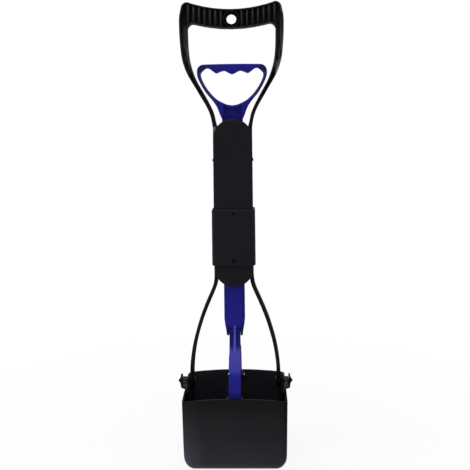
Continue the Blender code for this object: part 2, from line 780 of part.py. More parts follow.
def head_recess(name, height):
    """The pair of stepped holes for screw heads in a rear cover."""
    seat = COVER_OUTER_Y - SCREW_HEAD_DEPTH - SEAT_GAP / 2
    wide = rod_along_y(name, seat, COVER_OUTER_Y + OVERRUN, (SCREW_X, height), SCREW_HEAD_RADIUS + SEAT_GAP)
    narrow = rod_along_y(
        name + " bore", COVER_INNER_Y - OVERRUN, COVER_OUTER_Y + OVERRUN, (SCREW_X, height),
        SCREW_RADIUS + SEAT_GAP, ROUND_STEPS // 2,
    )
    return both_sides(wide), both_sides(narrow)


def screw_socket(name, height):
    """The pair of blind holes in a front cover that the screws bite into."""
    return both_sides(rod_along_y(
        name, -COVER_OUTER_Y + SCREW_TIP_COVER, -COVER_INNER_Y + OVERRUN, (SCREW_X, height),
        SCREW_RADIUS + PIN_GAP, ROUND_STEPS // 2,
    ))


def upper_cover_outline():
    centre = FOLD_Z + UPPER_COVER_LENGTH - HOUSING_HALF
    foot = FOLD_Z + SPLIT_GAP
    return [(-HOUSING_HALF, foot), (HOUSING_HALF, foot), *dome(centre, HOUSING_HALF, 1)]


def upper_front_cover(body):
    cover = cover_plate("upper_front_cover", upper_cover_outline(), -1)
    collar_z = FOLD_Z + TOP_COLLAR_RISE
    unite(cover, cover_ribs("front guide ribs", FOLD_Z + PAD_HEIGHT, collar_z - SLIDE_GAP, -1))
    for name, rise in zip(("low sockets", "high sockets"), UPPER_SCREW_RISES):
        carve(cover, screw_socket(name, FOLD_Z + rise))
    return finished(cover, body, "black_cover")


def knuckle_notch(name, low, high):
    """The notches in a rear cover that the frames' knuckles stand in."""
    return both_sides(box(
        name, (LOWER_KNUCKLE[0] - SLIDE_GAP, COVER_INNER_Y - OVERRUN, low),
        (UPPER_KNUCKLE[1] + SLIDE_GAP, COVER_OUTER_Y + OVERRUN, high),
    ))


def rod_slot(name, low, high):
    """The slot in a rear cover that the rods' knuckles slide in."""
    half = ROD_KNUCKLES_WIDTH / 2 + SLIDE_GAP
    return box(name, (-half, COVER_INNER_Y - OVERRUN * 2, low), (half, COVER_OUTER_Y + OVERRUN, high))


def upper_rear_cover(body):
    cover = cover_plate("upper_rear_cover", upper_cover_outline(), 1)
    slot_top = FOLD_Z + KNUCKLE_LUG_HEIGHT + PULL_STROKE + SLIDE_GAP
    collar_z = FOLD_Z + TOP_COLLAR_RISE
    ridge_x = UPPER_KNUCKLE[1] - GUIDE_RIDGE_WIDTH
    unite(
        cover,
        cover_ribs("rear guide ribs", slot_top + RIM_WIDTH, collar_z - SLIDE_GAP, 1),
        both_sides(box(
            "sleeve ridges", (ridge_x, COVER_OUTER_Y - EMBED, FOLD_Z + GUIDE_RIDGE_START),
            (ridge_x + GUIDE_RIDGE_WIDTH, SLEEVE_REAR_Y - SEAT_GAP, SLEEVE_STOP_Z),
        )),
    )
    carve(
        cover,
        rod_slot("rod slot", FOLD_Z - OVERRUN, slot_top),
        knuckle_notch(
            "knuckle notches", FOLD_Z - OVERRUN, FOLD_Z + KNUCKLE_LUG_HEIGHT + SLIDE_GAP
        ),
    )
    for name, rise in zip(("low recesses", "high recesses"), UPPER_SCREW_RISES):
        carve(cover, *head_recess(name, FOLD_Z + rise))
    return finished(cover, body, "black_cover")


def cover_screw(name, body, across, height):
    """A slotted screw from the rear cover through the frame into the front cover."""
    head_y = COVER_OUTER_Y - SEAT_GAP / 2
    length = head_y + COVER_OUTER_Y - SCREW_TIP_COVER - SEAT_GAP
    screw = turned(name, [
        (0, 0), (SCREW_HEAD_RADIUS, 0), (SCREW_HEAD_RADIUS, -SCREW_HEAD_DEPTH),
        (SCREW_RADIUS, -SCREW_HEAD_DEPTH), (SCREW_RADIUS, SCREW_RADIUS - length), (0, -length),
    ], (across, head_y, height), (0, 1, 0), ROUND_STEPS // 2)
    slot = box(
        name + " slot", (across - SCREW_HEAD_RADIUS * 2, head_y - SCREW_SLOT_DEPTH, height - SCREW_SLOT_WIDTH / 2),
        (across + SCREW_HEAD_RADIUS * 2, head_y + OVERRUN, height + SCREW_SLOT_WIDTH / 2),
    )
    carve(screw, slot)
    return finished(screw, body, "steel")


def sleeve_ring(name, inset, low, high):
    """The sleeve's outer block, or its hollow when moved in by the wall."""
    half = SLEEVE_INNER_HALF + SLEEVE_WALL - inset
    front = -SLEEVE_FRONT_Y - SLEEVE_WALL + inset
    rear = SLEEVE_REAR_Y + SLEEVE_WALL - inset
    return box(name, (-half, front, low), (half, rear, high))


def upright_edges(shape):
    return [
        edge for edge in shape.edges
        if abs(edge.verts[0].co.x - edge.verts[1].co.x) < MERGE
        and abs(edge.verts[0].co.y - edge.verts[1].co.y) < MERGE
    ]


def round_uprights(target, radius, segments):
    """Rounds the upright corners of a block."""
    shape = bmesh.new()
    shape.from_mesh(target.data)
    bmesh.ops.bevel(
        shape, geom=upright_edges(shape), offset=radius, segments=segments, profile=0.5, affect="EDGES"
    )
    shape.to_mesh(target.data)
    shape.free()
    return target


def lock_sleeve(body):
    top = SLEEVE_FOOT_Z + SLEEVE_LENGTH
    sleeve = sleeve_ring("lock_sleeve", 0, SLEEVE_FOOT_Z, top)
    round_uprights(sleeve, SLEEVE_EDGE_RADIUS, CORNER_STEPS // 2)
    soften(sleeve, SLEEVE_RIM_RADIUS)
    hollow = sleeve_ring("sleeve hollow", SLEEVE_WALL, SLEEVE_FOOT_Z - OVERRUN, top + OVERRUN)
    face = -SLEEVE_FRONT_Y - SLEEVE_WALL
    low_inset, top_inset = DIMPLE_INSETS
    heights = (SLEEVE_FOOT_Z + low_inset, top - top_inset)
    dimples = [
        rod_along_y("dimple", face - OVERRUN, face + DIMPLE_DEPTH, (0, height), radius)
        for height, radius in zip(heights, DIMPLE_RADII)
    ]
    carve(sleeve, hollow, gathered("dimples", dimples))
    return finished(sleeve, body, "black_cover")


def grip_outline():
    """The trigger's outer edge, from its neck on the right round the top to the left."""
    neck = FOLD_Z + NECK_RISE
    half = GRIP_WIDTH / 2
    side = [(half * width_share, neck + GRIP_HEIGHT * share) for share, width_share in GRIP_SIDE_SHARES]
    side = smooth_path(side, 2)
    corner = (half - GRIP_CORNER, neck + GRIP_HEIGHT - GRIP_ARCH - GRIP_CORNER)
    rounded = arc(corner, GRIP_CORNER, 8, 88, CORNER_STEPS)
    top = [
        (corner[0] * share, neck + GRIP_HEIGHT - GRIP_ARCH * share ** 2) for share in (0.7, 0.35, 0.0)
    ]
    right = side + rounded + top
    return right[:-1] + mirrored(right)


def grip_hole_outline():
    """The finger opening, with scallops along its top."""
    neck = FOLD_Z + NECK_RISE
    half = GRIP_WIDTH / 2
    edge = [(half * width_share, neck + GRIP_HEIGHT * share) for share, width_share in GRIP_HOLE_SHARES]
    right = smooth_path(edge, 2)
    return right[:-1] + mirrored(right)[:-1]


def rod_blank(name, low, high):
    """A rod with a flat front and a hollow back, between two heights, closed at both ends."""
    blank = box(name, (-ROD_HALF, -ROD_HALF_DEPTH, low), (ROD_HALF, ROD_HALF_DEPTH, high))
    half = ROD_HALF - ROD_FLANGE
    return carve(blank, box(
        name + " hollow", (-half, ROD_FACE - ROD_HALF_DEPTH, low + ROD_END_PLATE),
        (half, ROD_HALF_DEPTH + OVERRUN, high - ROD_END_PLATE),
    ))


def neck_panel():
    """The room of the sunk panel in the front of the trigger's neck, below the finger opening."""
    neck = FOLD_Z + NECK_RISE
    half = ROD_HALF - PANEL_RIM
    top = [(half * across_share, neck + GRIP_HEIGHT * share) for share, across_share in PANEL_TOP_SHARES]
    right = [(half, neck - PANEL_DROP), *top[::-1]]
    front = -GRIP_DEPTH / 2
    return plate("neck panel", [right[:-1] + mirrored(right)], "front", front - OVERRUN, front + PANEL_DEPTH)


def trigger(body):
    grip = plate("trigger", [grip_outline(), grip_hole_outline()], "front", -GRIP_DEPTH / 2, GRIP_DEPTH / 2)
    soften(grip, GRIP_EDGE)
    low = FOLD_Z + SPLIT_GAP
    unite(grip, rod_blank("upper rod", low, FOLD_Z + NECK_RISE + GRIP_WEB_HEIGHT / 2))
    carve(grip, neck_panel())
    room = knuckle_room("room for lower rod knuckle", -ROD_KNUCKLE_WIDTH / 2, ROD_KNUCKLE_WIDTH / 2)
    carve(grip, room)
    start = ROD_KNUCKLE_WIDTH / 2 + SLIDE_GAP
    end = ROD_KNUCKLES_WIDTH / 2
    unite(grip, both_sides(knuckle("rod knuckle", start, end, 1, ROD_HALF_DEPTH - EMBED)))
    carve(grip, pin_bore("rod pin bore", -end, end, (FOLD_Y, FOLD_Z), FOLD_PIN_RADIUS))
    return finished(grip, body, "blue_moulding")


# Lower half


def fork_path(inner):
    """One arm of the fork from the pivot up to the housing, along its outer or inner edge."""
    spread = ARM_OUTER_X - HOUSING_HALF
    points = []
    for height_share, spread_share in FORK_SHARES:
        outer = HOUSING_HALF + spread * spread_share
        width = ARM_WIDTH + (HOUSING_RAIL_WIDTH - ARM_WIDTH) * max(0, height_share - 0.9) * 10
        points.append((outer - (width if inner else 0), PIVOT_Z + ARM_RISE * height_share))
    return smooth_path(points, CURVE_STEPS - 1)


def lower_frame(body):
    top = FOLD_Z - SPLIT_GAP
    outer = [*fork_path(False), (HOUSING_HALF, top)]
    inner = [*fork_path(True), (HOUSING_HALF - HOUSING_RAIL_WIDTH, top)]
    arm = plate("lower_frame", [outer + inner[::-1]], "front", -ARM_DEPTH / 2, ARM_DEPTH / 2)
    frame = both_sides(arm)
    soften(frame, ARM_EDGE, 1)
    ring_top = FOLD_Z - LOWER_COLLAR_DROP
    ring = collar("lower collar", ring_top - COLLAR_HEIGHT, ring_top)
    ends = both_sides(rod_along_x("arm ends", ARM_INNER_X, ARM_OUTER_X, (0, PIVOT_Z), EAR_RADIUS))
    rail_inner = HOUSING_HALF - HOUSING_RAIL_WIDTH
    rails = both_sides(box(
        "housing rails", (rail_inner, -FRAME_HALF_DEPTH, ring_top - COLLAR_HEIGHT),
        (HOUSING_HALF, FRAME_HALF_DEPTH, top),
    ))
    unite(frame, ends, rails, ring, guide_pad("lower fold pads", ring_top - EMBED, top))
    carve(frame, both_sides(knuckle_room("room for upper knuckles", *UPPER_KNUCKLE)))
    unite(frame, both_sides(knuckle("lower knuckle", *LOWER_KNUCKLE, -1, FRAME_HALF_DEPTH - EMBED)))
    carve(
        frame,
        both_sides(pin_bore("lower fold pin bore", *LOWER_KNUCKLE, (FOLD_Y, FOLD_Z), FOLD_PIN_RADIUS)),
        both_sides(pin_bore("pivot bore", ARM_INNER_X, ARM_OUTER_X, (0, PIVOT_Z), PIVOT_PIN_RADIUS)),
        screw_bores("lower screw bores", FOLD_Z - LOWER_SCREW_DROP),
    )
    return finished(frame, body, "black_moulding")


def lower_cover_outline():
    centre = FOLD_Z - LOWER_COVER_LENGTH + HOUSING_HALF
    top = FOLD_Z - SPLIT_GAP
    return [(HOUSING_HALF, top), (-HOUSING_HALF, top), *dome(centre, HOUSING_HALF, -1)]


def lower_front_cover(body):
    cover = cover_plate("lower_front_cover", lower_cover_outline(), -1)
    carve(cover, screw_socket("lower sockets", FOLD_Z - LOWER_SCREW_DROP))
    return finished(cover, body, "black_cover")


def lower_rear_cover(body):
    cover = cover_plate("lower_rear_cover", lower_cover_outline(), 1)
    lip_top = FOLD_Z - LOCK_LIP_DROP
    half = UPPER_KNUCKLE[1]
    unite(cover, box(
        "lock lip", (-half, COVER_OUTER_Y - EMBED, lip_top - LOCK_LIP_HEIGHT),
        (half, SLEEVE_REAR_Y - LOCK_LIP_GAP, lip_top),
    ))
    notch_foot = FOLD_Z - KNUCKLE_LUG_HEIGHT - SLIDE_GAP
    carve(
        cover,
        rod_slot("lower rod slot", notch_foot, FOLD_Z + OVERRUN),
        knuckle_notch("lower knuckle notches", notch_foot, FOLD_Z + OVERRUN),
        *head_recess("lower recesses", FOLD_Z - LOWER_SCREW_DROP),
    )
    return finished(cover, body, "black_cover")


def fold_pin(name, body, side):
    """One of the two steel pins that join the upper and the lower frame."""
    start = LOWER_KNUCKLE[0] - SLIDE_GAP / 2
    end = UPPER_KNUCKLE[1] + SLIDE_GAP / 2
    place = sorted((side * start, side * end))
    return finished(rod_along_x(name, *place, (FOLD_Y, FOLD_Z), FOLD_PIN_RADIUS), body, "steel")


def lower_rod_outline():
    """The lower rod from the front, tapered at its foot into the clevis."""
    shoulder = ROD_FOOT_Z + CLEVIS_TAPER_HEIGHT
    tip = CLEVIS_TIP_WIDTH / 2
    right = [
        (tip, ROD_FOOT_Z), (tip * 1.07, ROD_FOOT_Z + CLEVIS_TAPER_HEIGHT * 0.3),
        (ROD_HALF * 0.93, ROD_FOOT_Z + CLEVIS_TAPER_HEIGHT * 0.65), (ROD_HALF, shoulder),
        (ROD_HALF, FOLD_Z - SPLIT_GAP),
    ]
    return right + mirrored(right)


def clevis_openings():
    """The mouth that holds the links' ends, and the slots that their ribs stand in."""
    mouth = LINK_NECK_WIDTH / 2 + SLIDE_GAP
    mouth_top = CLEVIS_PIN_Z + LINK_EYE_RADIUS + SLIDE_GAP
    slot = LINK_SPINE_WIDTH / 2 + SLIDE_GAP
    slot_top = CLEVIS_PIN_Z + LINK_SPINE_TAB + SLIDE_GAP
    slot_floor = CLEVIS_PIN_Y - SLIDE_GAP * 2
    low = ROD_FOOT_Z - OVERRUN
    return [
        box("clevis mouth", (-mouth, -ROD_DEPTH, low), (mouth, ROD_DEPTH, mouth_top)),
        box("front rib slot", (-slot, -ROD_DEPTH, low), (slot, -slot_floor, slot_top)),
        box("rear rib slot", (-slot, slot_floor, low), (slot, ROD_DEPTH, slot_top)),
    ]


def lower_rod(body):
    top = FOLD_Z - SPLIT_GAP
    rod = plate("lower_rod", [lower_rod_outline()], "front", -ROD_HALF_DEPTH, ROD_HALF_DEPTH)
    soften(rod, ROD_EDGE)
    half = ROD_HALF - ROD_FLANGE
    carve(
        rod,
        box(
            "lower rod hollow",
            (-half, ROD_FACE - ROD_HALF_DEPTH, ROD_FOOT_Z + CLEVIS_TAPER_HEIGHT + ROD_END_PLATE),
            (half, ROD_HALF_DEPTH + OVERRUN, top - ROD_END_PLATE),
        ),
        *clevis_openings(),
    )
    start, end = -ROD_KNUCKLE_WIDTH / 2, ROD_KNUCKLE_WIDTH / 2
    rooms_start = ROD_KNUCKLE_WIDTH / 2 + SLIDE_GAP
    carve(rod, both_sides(knuckle_room(
        "room for upper rod knuckles", rooms_start, ROD_KNUCKLES_WIDTH / 2
    )))
    unite(rod, knuckle("lower rod knuckle", start, end, -1, ROD_HALF_DEPTH - EMBED))
    pins = gathered("link pin bores", [
        pin_bore("link pin bore", -ROD_HALF, ROD_HALF, (facing * CLEVIS_PIN_Y, CLEVIS_PIN_Z), LINK_PIN_RADIUS)
        for facing in (-1, 1)
    ])
    carve(rod, pin_bore("rod hinge bore", start, end, (FOLD_Y, FOLD_Z), FOLD_PIN_RADIUS), pins)
    return finished(rod, body, "blue_moulding")


def rod_hinge_pin(body):
    half = ROD_KNUCKLES_WIDTH / 2
    return finished(rod_along_x("rod_hinge_pin", -half, half, (FOLD_Y, FOLD_Z), FOLD_PIN_RADIUS), body, "steel")


def link_path(facing):
    """The middle line of a link in side view, from the clevis pin down to the jaw pin."""
    start = (facing * CLEVIS_PIN_Y, CLEVIS_PIN_Z)
    run, fall = facing * LUG_Y - start[0], LUG_Z - start[1]
    return smooth_path([(start[0] + run * out, start[1] + fall * down) for out, down in LINK_SHARES], CURVE_STEPS)


def link_spine(name, facing, path):
    """The narrow rib down the outer face of a link's upper end."""
    top = (path[0][0], path[0][1] + LINK_SPINE_TAB)
    line = [top] + path[:CURVE_STEPS * 5 // 2]
    face = facing * LINK_THICKNESS / 2
    crest = moved_in(line, face + facing * LINK_SPINE_HEIGHT)
    crest[-1] = moved_in(line, face / 2)[-1]
    half = LINK_SPINE_WIDTH / 2
    spine = plate(name, [crest + line[::-1]], "side", -half, half)
    return soften(spine, LINK_EDGE, 1)


def link(name, body, facing):
    """A curved blade that ties the rod's end to one jaw. facing is -1 for the front one."""
    path = link_path(facing)
    blade_outline = moved_in(path, LINK_THICKNESS / 2) + moved_in(path, -LINK_THICKNESS / 2)[::-1]
    half = LINK_WIDTH / 2
    neck = LINK_NECK_WIDTH / 2
    neck_foot = CLEVIS_PIN_Z - LINK_NECK_LENGTH
    reach = LUG_Y + LINK_THICKNESS
    blade = plate(name, [blade_outline], "side", -half, half)
    carve(blade, both_sides(box(
        "beside the neck", (neck, -reach, neck_foot), (half + OVERRUN, reach, CLEVIS_PIN_Z + OVERRUN)
    )))
    soften(blade, LINK_EDGE)
    unite(
        blade,
        rod_along_x("top eye", -neck, neck, path[0], LINK_EYE_RADIUS),
        rod_along_x("jaw eye", -half, half, path[-1], LINK_EYE_RADIUS),
        link_spine("spine", facing, path),
    )
    carve(
        blade,
        pin_bore("top bore", -neck, neck, path[0], LINK_PIN_RADIUS),
        pin_bore("jaw bore", -half, half, path[-1], JAW_PIN_RADIUS),
    )
    return finished(blade, body, "blue_moulding")


def clevis_pin(name, body, facing):
    half = CLEVIS_TIP_WIDTH / 2
    centre = (facing * CLEVIS_PIN_Y, CLEVIS_PIN_Z)
    return finished(rod_along_x(name, -half, half, centre, LINK_PIN_RADIUS), body, "steel")


def jaw_pin(name, body, facing):
    half = JAW_PIN_LENGTH / 2
    return finished(rod_along_x(name, -half, half, (facing * LUG_Y, LUG_Z), JAW_PIN_RADIUS), body, "steel")


# Bucket


def bucket_profile(inset, top):
    """The closed bucket's outline in side view, moved in by a wall thickness."""
    heel = HEEL_RADIUS - inset
    half = BUCKET_DEPTH / 2
    centre = (half - WALL_LEAN - HEEL_RADIUS, HEEL_RADIUS)
    corner = arc(centre, heel, -90, 0, CORNER_STEPS)
    low = corner[-1]
    high = (half - inset, RIM_HEIGHT)
    bulge = (half - inset - WALL_LEAN * 0.15, low[1] + (high[1] - low[1]) * 0.45)
    wall = [
        tuple((1 - t) ** 2 * a + 2 * t * (1 - t) * b + t ** 2 * c for a, b, c in zip(low, bulge, high))
        for t in (0.25, 0.5, 0.75, 1.0)
    ]
    rear = corner + wall + [(high[0], top)]
    return rear + mirrored(rear)


def bucket_inward(outline, top):
    """For each point of the bucket's side outline, the direction to the inside."""
    inward = []
    for i, (depth, height) in enumerate(outline):
        before, after = outline[i - 1], outline[(i + 1) % len(outline)]
        run, rise = after[0] - before[0], after[1] - before[1]
        if height > RIM_HEIGHT - MERGE:
            run, rise = 0, math.copysign(1, depth)
        length = math.hypot(run, rise)
        inward.append((-rise / length, run / length))
    return inward


def bucket_block(name, inset, top):
    """The bucket as a solid block with rounded side edges, moved in by a wall thickness."""
    half = BUCKET_HALF - inset
    outline = bucket_profile(inset, top)
    inward = bucket_inward(outline, top)
    rises = [min(1, max(0, (height - inset) / BUCKET_FOOT_RISE)) for _, height in outline]
    radii = [BUCKET_FOOT_RADIUS + (BUCKET_WALL_RADIUS - BUCKET_FOOT_RADIUS) * rise - inset for rise in rises]
    turns = [math.radians(90 * i / CORNER_STEPS) for i in range(CORNER_STEPS + 1)]
    shape = bmesh.new()
    rings = []
    for side, turn in [(-1, turn) for turn in turns] + [(1, turn) for turn in reversed(turns)]:
        ring = []
        for (depth, height), (run, rise), radius in zip(outline, inward, radii):
            shift = radius * (1 - math.sin(turn))
            height += rise * shift
            taper = 1 - SIDE_LEAN / BUCKET_HALF * (1 - height / RIM_HEIGHT)
            across = side * (half - radius * (1 - math.cos(turn))) * taper
            ring.append(shape.verts.new((across, depth + run * shift, height)))
        rings.append(ring)
    for near, far in zip(rings, rings[1:]):
        for i in range(len(outline)):
            shape.faces.new((near[i - 1], near[i], far[i], far[i - 1]))
    shape.faces.new(rings[0])
    shape.faces.new(rings[-1])
    bmesh.ops.recalc_face_normals(shape, faces=shape.faces)
    bmesh.ops.triangulate(shape, faces=shape.faces)
    return from_bmesh(name, shape)


def crown_cutter(name, top):
    """What lies above the rim, which rises a little towards the middle."""
    half = BUCKET_HALF + OVERRUN
    shares = [i / 8 - 1 for i in range(17)]
    crown = [(half * share, RIM_HEIGHT + RIM_CROWN * (1 - share ** 2)) for share in shares]
    return plate(
        name, [[*crown, (half, top), (-half, top)]], "front", -BUCKET_DEPTH, BUCKET_DEPTH
    )


def jaw_shell(name, facing):
    """One half of the bucket. facing is -1 for the front jaw."""
    top = RIM_HEIGHT + RIM_CROWN + OVERRUN
    jaw = bucket_block(name, 0, top)
    hollow = bucket_block(name + " hollow", JAW_WALL, top + OVERRUN)
    far = BUCKET_DEPTH
    near, away = sorted((facing * JAW_GAP / 2, -facing * far))
    half = BUCKET_HALF + OVERRUN
    other_half = box(name + " parting", (-half, near, -OVERRUN), (half, away, top + OVERRUN))
    return carve(jaw, hollow, other_half, crown_cutter(name + " crown", top + OVERRUN))


def link_lugs(name, facing):
    """The two cheeks inside a jaw that hold the link's pin."""
    inner_wall = BUCKET_DEPTH / 2 - JAW_WALL
    tip = (LUG_Y - LUG_SLOT_RUN, LUG_Z)
    round_end = arc(tip, LUG_RADIUS, 90, 270, CORNER_STEPS)
    outline = [*round_end, (inner_wall + EMBED / 2, LUG_Z - LUG_RADIUS), (inner_wall + EMBED / 2, LUG_Z + LUG_RADIUS)]
    start = LINK_WIDTH / 2 + SLIDE_GAP
    outline = [(facing * depth, height) for depth, height in outline]
    return both_sides(plate(name, [outline], "side", start, start + LUG_THICKNESS))


def lug_slot(name, facing):
    """The slot that lets the link's pin ride a little inwards as the jaw swings."""
    radius = JAW_PIN_RADIUS + LUG_SLOT_GAP
    outer, inner = (LUG_Y, LUG_Z), (LUG_Y - LUG_SLOT_RUN, LUG_Z + LUG_SLOT_RISE)
    lean = math.degrees(math.atan2(LUG_SLOT_RISE, -LUG_SLOT_RUN))
    outline = arc(outer, radius, lean - 270, lean - 90, CORNER_STEPS) + arc(inner, radius, lean - 90, lean + 90, CORNER_STEPS)
    outline = [(facing * depth, height) for depth, height in outline]
    half = LINK_WIDTH / 2 + LUG_THICKNESS + OVERRUN
    return plate(name, [outline], "side", -half, half)


def front_jaw(body):
    """The front jaw, whose ears stand inside, against the fork's arms."""
    jaw = jaw_shell("front_jaw", -1)
    edge = -JAW_GAP / 2
    foot = RIM_HEIGHT - INNER_EAR_DROP
    centre = (0, PIVOT_Z)
    ear = plate("inner ears", [[
        (edge, foot), *arc(centre, EAR_RADIUS, -92, 180, CORNER_STEPS * 4),
        (-INNER_EAR_REACH, foot + INNER_EAR_DROP / 2), (-INNER_EAR_REACH, foot),
    ]], "side", INNER_EAR_INNER_X, INNER_EAR_OUTER_X)
    below = RIM_HEIGHT - SEAT_GAP
    patch = box(
        "ear patches", (INNER_EAR_INNER_X + EMBED, -INNER_EAR_REACH + EMBED, foot + EMBED),
        (BUCKET_HALF - JAW_WALL + EMBED / 2, edge - EMBED, below - EMBED),
    )
    unite(jaw, both_sides(ear), both_sides(patch), link_lugs("front lugs", -1))
    carve(
        jaw,
        both_sides(pin_bore(
            "front jaw bores", INNER_EAR_INNER_X, INNER_EAR_OUTER_X, centre, PIVOT_PIN_RADIUS
        )),
        lug_slot("front lug slot", -1),
    )
    return finished(jaw, body, "black_bucket")


def rear_jaw(body):
    """The rear jaw, whose ears stand outside the springs."""
    jaw = jaw_shell("rear_jaw", 1)
    edge = JAW_GAP / 2
    centre = (0, PIVOT_Z)
    shelf = RIM_HEIGHT - OUTER_EAR_THICKNESS / 2
    ear = plate("outer ears", [[
        (edge, shelf), (OUTER_EAR_REACH, shelf),
        *arc(centre, EAR_RADIUS, 0, 267, CORNER_STEPS * 4),
    ]], "side", OUTER_EAR_INNER_X, OUTER_EAR_OUTER_X)
    wall_x = BUCKET_HALF - JAW_WALL + EMBED
    drop = shelf - OUTER_EAR_WEB
    web = plate("ear webs", [[
        (wall_x, drop), (BUCKET_HALF, drop), (OUTER_EAR_OUTER_X, shelf - EMBED),
        (OUTER_EAR_OUTER_X, shelf + EMBED), (OUTER_EAR_INNER_X, shelf + EMBED),
        (BUCKET_HALF, drop + OUTER_EAR_THICKNESS * 1.5), (wall_x, drop + OUTER_EAR_THICKNESS * 1.5),
    ]], "front", edge, OUTER_EAR_REACH)
    unite(jaw, both_sides(web), both_sides(ear), link_lugs("rear lugs", 1))
    carve(
        jaw,
        both_sides(pin_bore(
            "rear jaw bores", OUTER_EAR_INNER_X, OUTER_EAR_OUTER_X, centre, PIVOT_PIN_RADIUS
        )),
        lug_slot("rear lug slot", 1),
    )
    return finished(jaw, body, "black_bucket")


def pivot_pin(name, body, side):
    """A headed pin from outside the bucket through both ears and the fork's arm."""
    head_seat = OUTER_EAR_OUTER_X + SEAT_GAP
    inner_end = ARM_INNER_X - CLIP_THICKNESS - SEAT_GAP * 3
    tip = head_seat + PIN_HEAD_THICKNESS
    rounding = arc((0, tip), PIN_TIP_LENGTH, 90, 0, 4)
    scale = PIN_TIP_RADIUS / PIN_TIP_LENGTH
    profile = [(radius * scale, height) for radius, height in rounding] + [
        (PIN_HEAD_RADIUS, tip), (PIN_HEAD_RADIUS, head_seat), (PIVOT_PIN_RADIUS, head_seat),
        (PIVOT_PIN_RADIUS, inner_end), (0, inner_end),
    ]
    profile[0] = (0, profile[0][1])
    return finished(turned(name, profile, (0, 0, PIVOT_Z), (side, 0, 0)), body, "dark_steel")


def pivot_clip(name, body, side):
    """The push-on washer that keeps a pivot pin in the arm."""
    outer = ARM_INNER_X - SEAT_GAP
    place = sorted((side * outer, side * (outer - CLIP_THICKNESS)))
    clip = rod_along_x(name, *place, (0, PIVOT_Z), CLIP_RADIUS)
    carve(clip, pin_bore(name + " bore", *place, (0, PIVOT_Z), PIVOT_PIN_RADIUS))
    return finished(clip, body, "dark_steel")


def spring_points(side):
    """The wire's middle line: a leg, the turns about the pivot pin, and the other leg."""
    turns = round(SPRING_TURNS * SPRING_POINTS_PER_TURN)
    coil = []
    for i in range(turns + 1):
        angle = 2 * math.pi * i / SPRING_POINTS_PER_TURN
        along = SPRING_START_X + SPRING_PITCH * i / SPRING_POINTS_PER_TURN
        coil.append(Vector((
            side * along, SPRING_RADIUS * math.cos(angle), PIVOT_Z + SPRING_RADIUS * math.sin(angle)
        )))
    drop = Vector((0, 0, SPRING_LEG))
    return [coil[0] - drop, *coil, coil[-1] - drop]


def spring_gap(points):
    """The least clear gap between the wire and itself, more than half a turn along."""
    apart = SPRING_POINTS_PER_TURN // 2
    nearest = min(
        (points[i] - points[j]).length
        for i in range(len(points)) for j in range(i + apart, len(points))
    )
    return nearest - SPRING_WIRE


def torsion_spring(name, body, side):
    """A closing spring, as one unbroken wire wound between the two jaws' ears."""
    points = spring_points(side)
    print(name, "least gap between turns, in mm:", round(spring_gap(points) / MM, 3))
    curve = bpy.data.curves.new(name, "CURVE")
    curve.dimensions = "3D"
    curve.bevel_depth = SPRING_WIRE / 2
    curve.bevel_resolution = 1
    curve.use_fill_caps = True
    wire = curve.splines.new("POLY")
    wire.points.add(len(points) - 1)
    for point, place in zip(wire.points, points):
        point.co = (*place, 1)
    guide = bpy.data.objects.new(name, curve)
    cutters.objects.link(guide)
    bpy.context.view_layer.update()
    graph = bpy.context.evaluated_depsgraph_get()
    mesh = bpy.data.meshes.new_from_object(guide.evaluated_get(graph))
    bpy.data.objects.remove(guide)
    shape = bmesh.new()
    shape.from_mesh(mesh)
    bpy.data.meshes.remove(mesh)
    bmesh.ops.remove_doubles(shape, verts=shape.verts, dist=MERGE)
    return finished(from_bmesh(name, shape), body, "steel")


def build_upper_half():
    fold = body_axis("fold_axis", (0, FOLD_Y, FOLD_Z))
    slide = body_axis("sleeve_axis", (0, 0, SLEEVE_FOOT_Z))
    pull = body_axis("pull_axis", (0, 0, FOLD_Z + NECK_RISE))
    upper_frame(fold)
    upper_front_cover(fold)
    upper_rear_cover(fold)
    for row, rise in zip(("low", "high"), UPPER_SCREW_RISES):
        for side_name, side in (("left", -1), ("right", 1)):
            cover_screw(f"upper_screw_{row}_{side_name}", fold, side * SCREW_X, FOLD_Z + rise)
    lock_sleeve(slide)
    trigger(pull)
    rod_hinge_pin(pull)


def build_lower_half():
    base = body_axis("fork_origin", (0, 0, 0))
    rod = body_axis("lower_rod_axis", (0, 0, CLEVIS_PIN_Z))
    lower_frame(base)
    lower_front_cover(base)
    lower_rear_cover(base)
    for side_name, side in (("left", -1), ("right", 1)):
        cover_screw(f"lower_screw_{side_name}", base, side * SCREW_X, FOLD_Z - LOWER_SCREW_DROP)
        fold_pin(f"fold_pin_{side_name}", base, side)
        pivot_pin(f"pivot_pin_{side_name}", base, side)
        pivot_clip(f"pivot_clip_{side_name}", base, side)
        torsion_spring(f"torsion_spring_{side_name}", base, side)
    lower_rod(rod)
    for end_name, facing in (("front", -1), ("rear", 1)):
        clevis_pin(f"{end_name}_clevis_pin", rod, facing)
        swing = body_axis(f"{end_name}_link_axis", (0, facing * CLEVIS_PIN_Y, CLEVIS_PIN_Z))
        link(f"{end_name}_link", swing, facing)
        jaw_pin(f"{end_name}_jaw_pin", swing, facing)


def build_bucket():
    front_jaw(body_axis("front_jaw_axis", (0, 0, PIVOT_Z)))
    rear_jaw(body_axis("rear_jaw_axis", (0, 0, PIVOT_Z)))


clear_scene()
pieces = new_collection("pooper_scooper")
cutters = new_collection("cutters", hidden=True)
materials = {name: finish_material(name) for name in FINISHES}
build_upper_half()
build_lower_half()
build_bucket()
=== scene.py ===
"""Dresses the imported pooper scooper: moulded plastics, steel fittings, wound springs and a studio.

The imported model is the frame. Each solid is shown by a skin of its own shape and in its own place,
with even shading, softly rounded edges and a procedural finish. The springs and the grip's ribs are
modelled again in finer form.
"""

